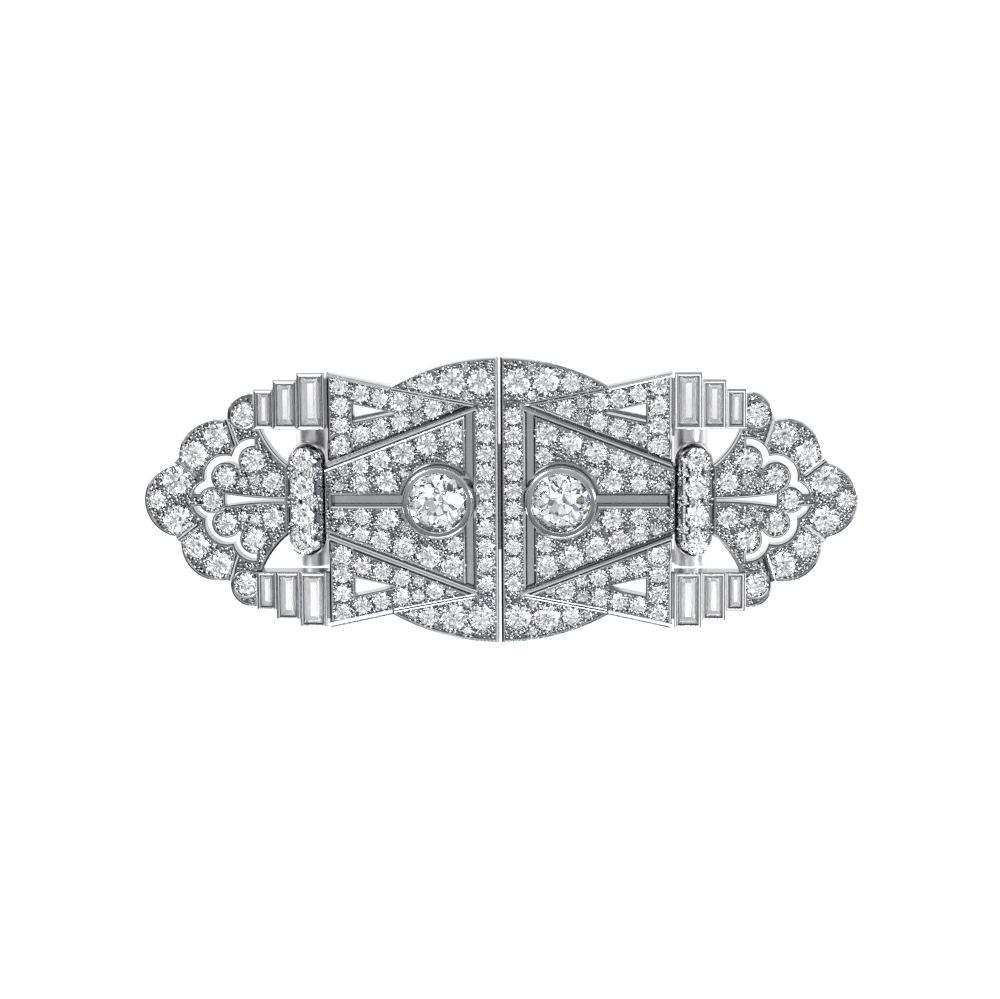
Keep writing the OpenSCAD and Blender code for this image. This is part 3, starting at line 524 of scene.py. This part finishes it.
def make_baguettes():
    """Step cut stones in place of the CAD baguettes."""
    for side, half, number in itertools.product(SIDES, ("upper", "lower"), (1, 2, 3)):
        node = f"baguette_{side}_{half}_{number}"
        low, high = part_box(node)
        width, height, deep = high - low
        girdle_z = high.z - CAD_CROWN * deep
        top = (high.z - girdle_z) / width * CROWN_FILL
        bottom = (girdle_z - low.z) / width * PAVILION_FILL
        points, faces = step_cut(1, height / width, top, bottom)
        middle = np.array([(low.x + high.x) / 2, (low.y + high.y) / 2, girdle_z])
        make_piece(
            "cut_" + node, points * width + middle, faces, STEP_CLEAR, "clip_" + side,
            replaced=[node],
        )


make_baguettes()


# Metal that stays as CAD
def finish_cad_nodes():
    slots = {row["node"]: row["material_slot"] for row in frame["record"]["subparts"]}
    for name, node in frame["nodes"].items():
        finish = BACK if name == "brooch_frame" else FINISHES[slots[name]]
        for i in range(len(node.data.materials)):
            node.data.materials[i] = finish


finish_cad_nodes()

# Edges of the metal: upward shares of the normals of a level face and of a wall
LEVEL_UP, EDGE_WALL_UP = 0.95, 0.3
# Edge of a seat: least number of points, unevenness of its radius, greatest radius
SEAT_POINTS, SEAT_UNEVEN, SEAT_RADIUS = 20, 0.03, 3 * MM


def edge_links(mesh, z_low, z_high):
    """Places of a mesh's points, and for each its neighbours along level edges between an upward face and a
    wall."""
    places, index = merged(mesh)
    sides = {}
    for polygon in mesh.polygons:
        ends = [int(index[v]) for v in polygon.vertices]
        for a, b in zip(ends, ends[1:] + ends[:1]):
            sides.setdefault((min(a, b), max(a, b)), []).append(polygon.normal.z)
    links = {}
    for (a, b), normals in sides.items():
        at_height = z_low <= (places[a][2] + places[b][2]) / 2 <= z_high
        is_level = abs(places[a][2] - places[b][2]) < SAME_PLACE
        is_edge = len(normals) == 2 and max(normals) > LEVEL_UP and min(normals) < EDGE_WALL_UP
        if at_height and is_level and is_edge:
            links.setdefault(a, set()).add(b)
            links.setdefault(b, set()).add(a)
    return places, links


def upper_edges(node, z_low, z_high):
    """Chains of points along the edges of a node's upper faces. A closed chain ends where it starts."""
    places, links = edge_links(frame["nodes"][node].data, z_low, z_high)
    chains, used = [], set()
    # Ends and forks come first, so that no open chain starts in its middle
    for start in sorted(links, key=lambda v: (len(links[v]) == 2, v)):
        for following in sorted(links[start]):
            if (start, following) in used:
                continue
            chain = [start, following]
            used |= {(start, following), (following, start)}
            while len(links[chain[-1]]) == 2:
                ways = [n for n in links[chain[-1]] if (chain[-1], n) not in used]
                if not ways:
                    break
                used |= {(chain[-1], ways[0]), (ways[0], chain[-1])}
                chain.append(ways[0])
            chains.append(places[chain])
    return chains


def is_closed(chain):
    return np.linalg.norm(chain[0] - chain[-1]) < SAME_PLACE


def is_seat(chain):
    """True for the round edge of a stone's seat."""
    middle = chain[:-1].mean(axis=0) if is_closed(chain) else chain.mean(axis=0)
    radius = np.linalg.norm(chain - middle, axis=1)
    is_round = np.ptp(radius) < SEAT_UNEVEN * radius.mean() and radius.mean() < SEAT_RADIUS
    return is_closed(chain) and len(chain) > SEAT_POINTS and is_round


def is_long(chain, least):
    return np.linalg.norm(np.diff(chain, axis=0), axis=1).sum() > least


# Least cosine that a band's corner is stretched by
MITRE = 0.6


def band(parts, chain, profile, inward):
    """Strip along a level chain of points. profile is a list of (distance inwards, height). inward is 1 where
    the metal lies to the left of the chain, and -1 to the right."""
    closed = is_closed(chain)
    points = chain[:-1] if closed else chain
    n, m = len(points), len(profile)
    ahead = np.roll(points, -1, axis=0) - points
    if not closed:
        ahead[-1] = ahead[-2]
    ahead /= np.linalg.norm(ahead, axis=1)[:, None]
    behind = np.roll(ahead, 1, axis=0)
    if not closed:
        behind[0] = ahead[0]
    along = ahead + behind
    length = np.linalg.norm(along, axis=1)
    along = np.where(length[:, None] > SAME_PLACE, along / np.maximum(length, SAME_PLACE)[:, None], ahead)
    across = np.stack([-along[:, 1], along[:, 0], np.zeros(n)], axis=1) * inward
    stretch = 1 / np.maximum(MITRE, np.abs((along * ahead).sum(axis=1)))
    made = [points[i] + across[i] * u * stretch[i] + UP * v for i in range(n) for u, v in profile]
    faces = []
    for i in range(n if closed else n - 1):
        a, b = i * m, (i + 1) % n * m
        for k in range(m):
            face = (a + k, a + (k + 1) % m, b + (k + 1) % m, b + k)
            faces.append(face if inward > 0 else face[::-1])
    if not closed:
        faces += [tuple(range(m)), tuple((n - 1) * m + k for k in reversed(range(m)))]
    parts.add(made, faces)


def metal_tree(side):
    mesh = frame["nodes"]["clip_metal_" + side].data
    return BVHTree.FromPolygons([v.co for v in mesh.vertices], [p.vertices for p in mesh.polygons])


# Feeling for the metal beside an edge: how far aside, from how far above, how far below, at how many places
PROBE_ASIDE, PROBE_ABOVE, PROBE_BELOW, PROBES = 0.06 * MM, 3 * MM, 0.05 * MM, 6


def metal_side(tree, chain):
    """1 where the metal at the chain's height lies to its left, -1 where it lies to its right."""
    votes = 0
    for i in range(0, len(chain) - 1, max(1, len(chain) // PROBES)):
        middle, way = (chain[i] + chain[i + 1]) / 2, chain[i + 1] - chain[i]
        across = np.array([-way[1], way[0], 0]) / np.linalg.norm(way) * PROBE_ASIDE
        for sign in SIGNS:
            hit = tree.ray_cast(Vector(middle + across * sign + UP * PROBE_ABOVE), DOWN)[0]
            votes += sign if hit is not None and hit.z > middle[2] - PROBE_BELOW else 0
    return 1 if votes >= 0 else -1


def profile_mm(*pairs):
    return [(u * MM, v * MM) for u, v in pairs]


# Profiles of the bands as (distance inwards, height) from the edge
RIM = profile_mm(
    (0, -0.10), (-0.04, -0.06), (0.03, 0.05), (0.14, 0.08), (0.25, 0.08), (0.31, 0.02), (0.33, -0.10),
)
LINE = profile_mm((0, -0.10), (-0.04, -0.05), (0.03, 0.05), (0.13, 0.06), (0.19, 0.01), (0.21, -0.10))
THIN = profile_mm((0, -0.08), (-0.02, 0), (0.03, 0.05), (0.10, 0.06), (0.17, 0.04), (0.18, -0.08))
BEZEL_EDGE = profile_mm((0, -0.06), (-0.02, 0), (0.02, 0.035), (0.07, 0.035), (0.10, -0.06))
# Broad top of a bezel, drawn in painted shade
BEZEL_TOP = profile_mm((0.05, -0.08), (0.06, 0.01), (0.14, 0.04), (0.44, 0.02), (0.45, -0.08))
RIDGE_LINE = profile_mm(
    (0, -0.30), (-0.10, -0.10), (-0.07, 0.0), (0.03, 0.05), (0.11, 0.05), (0.16, 0.01), (0.17, -0.08),
)
# Strip of painted shadow beside a ridge line
RIDGE_SHADOW_STRIP = profile_mm((0.17, -0.05), (0.17, 0.015), (0.27, 0.015), (0.27, -0.05))
STRIP_LINE = profile_mm((0, -0.10), (-0.05, -0.04), (0.03, 0.07), (0.20, 0.10), (0.24, 0.02), (0.25, -0.10))
# Bevel of an arm, drawn in painted shade
BEVEL = profile_mm((0, -0.12), (-0.02, 0.0), (0.40, 0.15), (0.48, 0.12), (0.50, -0.12))
# Heights of the edges of the faces, ridges and baguette frames, and bezels
FACE_EDGES = (6.3 * MM, 6.75 * MM)
RIDGE_EDGES = (6.75 * MM, 7.2 * MM)
BEZEL_EDGES = (8.3 * MM, 8.5 * MM)
# Least lengths of an edge that is drawn, of an outer rim, of a ridge, of a bezel's outer edge and of a bevel
EDGE_LEAST, RIM_LEAST, RIDGE_LEAST, BEZEL_LEAST, BEVEL_LEAST = 0.6 * MM, 30 * MM, 20 * MM, 18 * MM, 2 * MM
# Upper edge of an arm: from and to along x, and above which y
ARM_FROM, ARM_TO, ARM_Y = 9.65 * MM, 15.5 * MM, 9.9 * MM
# Long edge of the centre strip: its x, how near a point has to be to it, and the y where it ends
STRIP_X, STRIP_NEAR, STRIP_END = 2.35 * MM, 0.02 * MM, 8.7 * MM
# Polished bars across the shell's border, then the double line between crescent and arm. Both are given for
# the upper right quarter, in mm, and stand on the faces at these heights
SHELL_FACE, CLIP_FACE = 6.45 * MM, 6.7 * MM
SHELL_BARS = (((29.15, 3.6), (27.35, 2.2)), ((24.52, 7.35), (23.75, 4.98)))
SHELL_BAR_HALF_W, SHELL_BAR_HEIGHT, SHELL_BAR_FOOT = 0.24 * MM, 0.26 * MM, -0.4
# Outline of painted shade under a shell bar: its extra half width, height and foot
OUTLINE_W, OUTLINE_HEIGHT, OUTLINE_FOOT = 0.10 * MM, 0.12 * MM, -0.8
DIVIDER = ((2.3, 8.65), (9.6, 10.03))
DIVIDER_SHIFT, DIVIDER_HALF_W, DIVIDER_HEIGHT, DIVIDER_FOOT = 0.12 * MM, 0.09 * MM, 0.14 * MM, -0.5
# Top of a bar, as shares of its half width and height
BAR_TOP = ((-0.92, 0.25), (-0.5, 0.9), (0, 1), (0.5, 0.9), (0.92, 0.25))
# Flutes of a roll in mm: where they start and end along x, how many stand on each side of the middle, their
# pitch, the pitch of the stones that they fan out from, and how far they fan out
FLUTE_FROM, FLUTE_TO = 16.6, 15.78
FLUTES_ASIDE, FLUTE_PITCH, FAN_PITCH, FAN_OUT = 8, 0.505, 2.525, 0.25
# Their size, the number of points along each, and the upward share of the metal's normal where they end
FLUTE_HALF_W, FLUTE_HEIGHT, FLUTE_STEPS, FLUTE_UP = 0.07 * MM, 0.07 * MM, 7, 0.1
# Height over the brooch that rays start from
RAY_FROM = 50 * MM


def on_arm(point):
    """True on the upper edge of an arm, outside the crescent."""
    return ARM_FROM < abs(point[0]) < ARM_TO and abs(point[1]) > ARM_Y


def on_strip_edge(point):
    """True on the long edge of the centre strip beside the groove."""
    return abs(abs(point[0]) - STRIP_X) < STRIP_NEAR and abs(point[1]) < STRIP_END


def bar(parts, start, end, half_width, height, foot):
    """Ridge with a rounded top between two points. foot is its depth as a share of the height."""
    way = (end - start) / np.linalg.norm(end - start)
    across = np.array([-way[1], way[0], 0])
    profile = [(-1, foot), *BAR_TOP, (1, foot)]
    n = len(profile)
    points = [p + across * u * half_width + UP * v * height for p in (start, end) for u, v in profile]
    faces = [(k, k + 1, n + k + 1, n + k) for k in range(n - 1)]
    faces += [tuple(reversed(range(n))), tuple(range(n, 2 * n)), (0, n, 2 * n - 1, n - 1)]
    parts.add(points, faces)


def flute(parts, tree, start, end):
    """Thin crest on the metal's surface from start to end, seen from above, or to where it gets too steep."""
    way = (end - start) / np.linalg.norm(end - start)
    across = np.array([-way[1], way[0], 0]) * FLUTE_HALF_W
    points = []
    for k in range(FLUTE_STEPS):
        spot = start + (end - start) * k / (FLUTE_STEPS - 1)
        place, normal, _, _ = tree.ray_cast(Vector((spot[0], spot[1], RAY_FROM)), DOWN)
        if place is None or normal.z < FLUTE_UP:
            break
        base, rise = np.array(place), np.array(normal) * FLUTE_HEIGHT
        points += [base - across - rise, base + rise, base + across - rise]
    count = len(points) // 3
    if count < 2:
        return
    faces = [(0, 1, 2), tuple(3 * (count - 1) + k for k in (2, 1, 0))]
    for i, k in itertools.product(range(count - 1), range(3)):
        faces.append((3 * i + k, 3 * i + (k + 1) % 3, 3 * i + 3 + (k + 1) % 3, 3 * i + 3 + k))
    parts.add(points, faces)


class Edges:
    """Polished lines and strips of painted shade on the edges of a clip's metal, gathered by material."""

    def __init__(self, side):
        self.side, self.node = side, "clip_metal_" + side
        self.tree = metal_tree(side)
        self.mirror = -1 if side == "left" else 1
        self.lines, self.rims, self.shaded, self.bezels = Parts(), Parts(), Parts(), Parts()
        self.bars = []

    def draw_faces(self):
        """Rims and lines round the faces, bevels in painted shade on the arms and the strip's lines."""
        for chain in upper_edges(self.node, *FACE_EDGES):
            if is_seat(chain) or not is_long(chain, EDGE_LEAST):
                continue
            inward = metal_side(self.tree, chain)
            band(self.rims, chain, RIM if is_long(chain, RIM_LEAST) else LINE, inward)
            for k in range(len(chain) - 1):
                ends = chain[k:k + 2]
                if all(on_arm(p) for p in ends) and is_long(ends, BEVEL_LEAST):
                    band(self.shaded, ends, BEVEL, inward)
                if all(on_strip_edge(p) for p in ends):
                    band(self.lines, ends, STRIP_LINE, inward)

    def draw_ridges(self):
        """Ridges beside the fields with strips of painted shadow, and thin lines on the baguette frames."""
        for chain in upper_edges(self.node, *RIDGE_EDGES):
            inward = metal_side(self.tree, chain)
            if is_long(chain, RIDGE_LEAST):
                band(self.rims, chain, RIDGE_LINE, inward)
                band(self.shaded, chain, RIDGE_SHADOW_STRIP, inward)
            elif is_long(chain, EDGE_LEAST):
                band(self.lines, chain, THIN, inward)

    def draw_bezel(self):
        """Both edges of the bezel, and its broad top in painted shade."""
        for chain in upper_edges(self.node, *BEZEL_EDGES):
            inward = metal_side(self.tree, chain)
            band(self.bezels, chain, BEZEL_EDGE, inward)
            if is_long(chain, BEZEL_LEAST):
                band(self.shaded, chain, BEZEL_TOP, inward)

    def draw_flutes(self):
        """Flutes in painted shade on the roll's side towards the main stone, fanned out from each of its
        stones.
        """
        for i in range(-FLUTES_ASIDE, FLUTES_ASIDE + 1):
            y = i * FLUTE_PITCH
            fan = y - FAN_OUT * math.sin(y * math.tau / FAN_PITCH)
            start = np.array([FLUTE_FROM * self.mirror, y, 0]) * MM
            flute(self.shaded, self.tree, start, np.array([FLUTE_TO * self.mirror, fan, 0]) * MM)

    def quarters(self, line, z):
        """A line of the upper right quarter, at this clip's upper and lower half."""
        for sign in SIGNS:
            yield [np.array([x * self.mirror * MM, y * sign * MM, z]) for x, y in line]

    def draw_bars(self):
        """Bars across the shell's border outlined in painted shade, and double lines beside the crescents."""
        for line in SHELL_BARS:
            for a, b in self.quarters(line, SHELL_FACE):
                bar(self.rims, a, b, SHELL_BAR_HALF_W, SHELL_BAR_HEIGHT, SHELL_BAR_FOOT)
                bar(self.shaded, a, b, SHELL_BAR_HALF_W + OUTLINE_W, OUTLINE_HEIGHT, OUTLINE_FOOT)
                self.bars.append((a, b, SHELL_BAR_HALF_W))
        for a, b in self.quarters(DIVIDER, CLIP_FACE):
            for sign in SIGNS:
                step = np.array([0, sign * DIVIDER_SHIFT, 0])
                bar(self.rims, a + step, b + step, DIVIDER_HALF_W, DIVIDER_HEIGHT, DIVIDER_FOOT)
            self.bars.append((a, b, DIVIDER_SHIFT + DIVIDER_HALF_W))

    def make_pieces(self):
        body = "clip_" + self.side
        # A lighter copy of the metal paints highlights, darker copies paint shade
        for name, parts, finish, smooth in (
            ("edge_lines_", self.lines, BRIGHT, False),
            ("rim_lines_", self.rims, RIMMED, False),
            ("painted_shade_strips_", self.shaded, SHADED, False),
            ("bezel_edges_", self.bezels, RIMMED, True),
        ):
            make_piece(name + self.side, parts.points, parts.faces, finish, body, smooth=smooth)


def make_edges(side):
    edges = Edges(side)
    edges.draw_faces()
    edges.draw_ridges()
    edges.draw_bezel()
    edges.draw_flutes()
    edges.draw_bars()
    edges.make_pieces()
    return edges


edges_of = {side: make_edges(side) for side in SIDES}

# Settings of the small stones
# Collar: pitch of its cuts, how unevenly they stand and their least number, then the corners of a peak and of
# a valley as (share of the stone's radius, distance beyond it, height over the girdle) in mm
CUT_PITCH, CUT_JITTER, CUTS_LEAST = 0.24 * MM, 0.25, 9
PEAK = ((0.93, 0.0, 0.02), (1, 0.05, 0.19), (1, 0.21, 0.04), (1, 0.10, -0.10))
VALLEY = ((1, 0.0, 0.02), (1, 0.10, 0.10), (1, 0.14, 0.04), (1, 0.10, -0.10))
# Grains: radii, distances from the stone's edge and over its girdle
GRAIN_RADII = (0.10 * MM, 0.145 * MM)
GRAIN_OUT, GRAIN_LIFT = 0.06 * MM, 0.12 * MM
# Their pitch and the circle round the stone that it is measured on, least number, how unevenly they stand
GRAIN_PITCH, GRAIN_CIRCLE, GRAINS_LEAST, GRAIN_JITTER = 0.55 * MM, 0.12 * MM, 5, 0.2
# Their clearances to stones and to each other, how deep the metal may lie, and clearance to the bars
GRAIN_CLEAR, GRAIN_APART, GRAIN_DEPTH = 0.02 * MM, 0.24 * MM, 0.3 * MM
BAR_CLEAR = 0.03 * MM
# Start of each clip's random draws
GRAIN_SEEDS = {"left": 11, "right": 12}


def dome(sides=8, rows=3, foot=-0.6):
    """Dome of radius 1 with a short straight foot."""
    points = [UP]
    for r in range(1, rows + 1):
        t = math.radians(90 * r / rows)
        points += [around(math.sin(t), k * 360 / sides, math.cos(t)) for k in range(sides)]
    points += [around(1, k * 360 / sides, foot) for k in range(sides)]
    faces = [(0, 1 + k, 1 + (k + 1) % sides) for k in range(sides)]
    for r, k in itertools.product(range(rows), range(sides)):
        a, b, after = 1 + r * sides, 1 + (r + 1) * sides, (k + 1) % sides
        faces.append((a + k, b + k, b + after, a + after))
    faces.append(tuple(1 + rows * sides + k for k in reversed(range(sides))))
    return points, faces


GRAIN = dome()


def on_bar(bars, point):
    """True where a polished bar covers the point."""
    for a, b, half_width in bars:
        along = min(1, max(0, (point - a)[:2] @ (b - a)[:2] / ((b - a) @ (b - a))))
        if np.linalg.norm((point - a - along * (b - a))[:2]) < half_width + BAR_CLEAR:
            return True
    return False


def collar(radius, draw):
    """Jagged ring of cut metal that closes over a stone's edge, about the girdle's centre."""
    count = max(CUTS_LEAST, round(math.tau * radius / CUT_PITCH))
    points, faces = [], []
    for k in range(2 * count):
        a = 180 / count * (k + draw.uniform(-CUT_JITTER, CUT_JITTER))
        corners = PEAK if k % 2 == 0 else VALLEY
        points += [around(radius * share + beyond * MM, a, z * MM) for share, beyond, z in corners]
    size = len(PEAK)
    for k, m in itertools.product(range(2 * count), range(size)):
        a, b, after = size * k, size * ((k + 1) % (2 * count)), (m + 1) % size
        faces += [(a + m, a + after, b + after), (a + m, b + after, b + m)]
    return points, faces


def place_settings(side, stones, tree, bars):
    """Collars of cut metal in painted shade and round grains with a painted highlight that hold the small
    stones.
    """
    draw = random.Random(GRAIN_SEEDS[side])
    stones = [s for s in stones if "main" not in s[3]]
    centres = np.array([s[0] for s in stones])
    radii = np.array([s[2] / 2 for s in stones])
    collars, grains, placed = Parts(), Parts(), []
    for centre, axis, diameter, node in stones:
        r = diameter / 2
        side_x = np.cross([0, 1, 0], axis)
        side_x /= np.linalg.norm(side_x)
        turn = np.array([side_x, np.cross(axis, side_x), axis])
        if "roll" not in node:
            points, faces = collar(r, draw)
            points = [centre + p @ turn for p in points]
            covered = [on_bar(bars, p) for p in points]
            collars.add(points, [f for f in faces if not any(covered[i] for i in f)])
        count = max(GRAINS_LEAST, round(math.tau * (r + GRAIN_CIRCLE) / GRAIN_PITCH))
        first = draw.uniform(0, 360)
        for k in range(count):
            size = draw.uniform(*GRAIN_RADII)
            a = first + 360 / count * (k + draw.uniform(-GRAIN_JITTER, GRAIN_JITTER))
            spot = centre + around(r + GRAIN_OUT, a, GRAIN_LIFT) @ turn
            gaps = np.linalg.norm(centres - spot, axis=1) - radii
            if gaps.min() < GRAIN_CLEAR or any(np.linalg.norm(spot - q) < GRAIN_APART for q in placed):
                continue
            hit = tree.ray_cast(Vector(spot + axis * MM), Vector(-axis))[0]
            if hit is None or (np.array(hit) - spot) @ axis < -GRAIN_DEPTH or on_bar(bars, spot):
                continue
            placed.append(spot)
            grains.add([spot + (np.array(p) * size) @ turn for p in GRAIN[0]], GRAIN[1])
    # Collars darkened with painted shade, grains lightened with a painted highlight
    make_piece("bright_cuts_" + side, collars.points, collars.faces, PAINTED_SHADE_CUTS, "clip_" + side)
    make_piece("grains_" + side, grains.points, grains.faces, BRIGHT, "clip_" + side, smooth=True)


for side in SIDES:
    place_settings(side, stones_of[side], edges_of[side].tree, edges_of[side].bars)

# Floor: half its width in metres, its grey, roughness and glow
FLOOR_HALF = 3
FLOOR_GREY, FLOOR_ROUGH, FLOOR_GLOW = 0.85, 0.6, 0.8
# Studio round the brooch: brightness by height, shade of its panels, how much the panels show by height
SKY = ((0.0, 0.8), (0.40, 0.9), (0.90, 1.0), (0.945, 1.9), (0.972, 1.9), (0.984, 0.8), (1.0, 0.8))
PANELS = (
    (0.0, (0.01, 0.012, 0.018)), (0.51, (0.03, 0.032, 0.038)), (0.525, (0.40, 0.50, 1.15)),
    (0.54, (0.80, 0.80, 0.82)), (0.64, 1.5), (0.68, 3.4),
)
PANEL_SHARE = ((0.0, 0.25), (0.25, 1.0), (0.88, 1.0), (0.955, 0.15))
PANEL_SCALE, PANEL_RANDOM = 3.1, 0.8
STUDIO_STRENGTH = 0.42
# Soft boxes as name, place and size in metres, power in watts and tint
WHITE, COLD = (1, 1, 1), (0.86, 0.92, 1.0)
SOFT_BOXES = (
    ("key_box", (-0.30, 0.28, 0.50), (0.20, 0.26), 1.6, WHITE),
    ("fill_box", (0.42, 0.02, 0.40), (0.08, 0.30), 0.8, WHITE),
    ("rim_box", (0.05, -0.42, 0.40), (0.36, 0.06), 0.8, COLD),
)
LIGHT_BOUNCES, SHINE_BOUNCES = 16, 8


def make_floor():
    mesh = bpy.data.meshes.new("floor")
    h = FLOOR_HALF
    mesh.from_pydata([(-h, -h, 0), (h, -h, 0), (h, h, 0), (-h, h, 0)], [], [(0, 1, 2, 3)])
    floor = bpy.data.objects.new("floor", mesh)
    scene.collection.objects.link(floor)
    material, nodes = new_material("pale_floor")
    shader = nodes.add(
        "ShaderNodeBsdfPrincipled", Base_Color=(FLOOR_GREY, FLOOR_GREY, FLOOR_GREY, 1), Roughness=FLOOR_ROUGH,
        Emission_Color=(1, 1, 1, 1), Emission_Strength=FLOOR_GLOW,
    )
    nodes.add("ShaderNodeOutputMaterial", {"Surface": shader.outputs["BSDF"]})
    mesh.materials.append(material)


def make_world():
    """Studio: grey overhead with a bright ring, and bright and dark panels around."""
    world = bpy.data.worlds.new("studio")
    scene.world = world
    world.use_nodes = True
    nodes = Nodes(world.node_tree)
    place = nodes.add("ShaderNodeTexCoord").outputs["Generated"]
    height = nodes.part(place, "Z")
    panels = nodes.add("ShaderNodeTexVoronoi", {"Vector": place}, Scale=PANEL_SCALE, Randomness=PANEL_RANDOM)
    grey = nodes.add("ShaderNodeSeparateColor", {"Color": panels.outputs["Color"]}).outputs["Red"]
    share = nodes.ramp(height, PANEL_SHARE)
    sky = nodes.blend(nodes.ramp(height, SKY), nodes.ramp(grey, PANELS), share)
    light = nodes.add("ShaderNodeBackground", {"Color": sky}, Strength=STUDIO_STRENGTH)
    nodes.add("ShaderNodeOutputWorld", {"Surface": light.outputs["Background"]})


def soft_box(name, place, size, power, tint):
    data = bpy.data.lights.new(name, "AREA")
    data.shape = "RECTANGLE"
    data.size, data.size_y = size
    data.energy = power
    data.color = tint
    light = bpy.data.objects.new(name, data)
    light.location = place
    light.rotation_mode = "QUATERNION"
    light.rotation_quaternion = (-Vector(place)).to_track_quat("-Z", "Y")
    scene.collection.objects.link(light)


make_floor()
make_world()
for box in SOFT_BOXES:
    soft_box(*box)

scene.view_settings.view_transform = "Standard"
scene.view_settings.look = "None"
scene.cycles.max_bounces = LIGHT_BOUNCES
scene.cycles.transmission_bounces = LIGHT_BOUNCES
scene.cycles.glossy_bounces = SHINE_BOUNCES
scene.cycles.caustics_reflective = True
scene.cycles.caustics_refractive = True
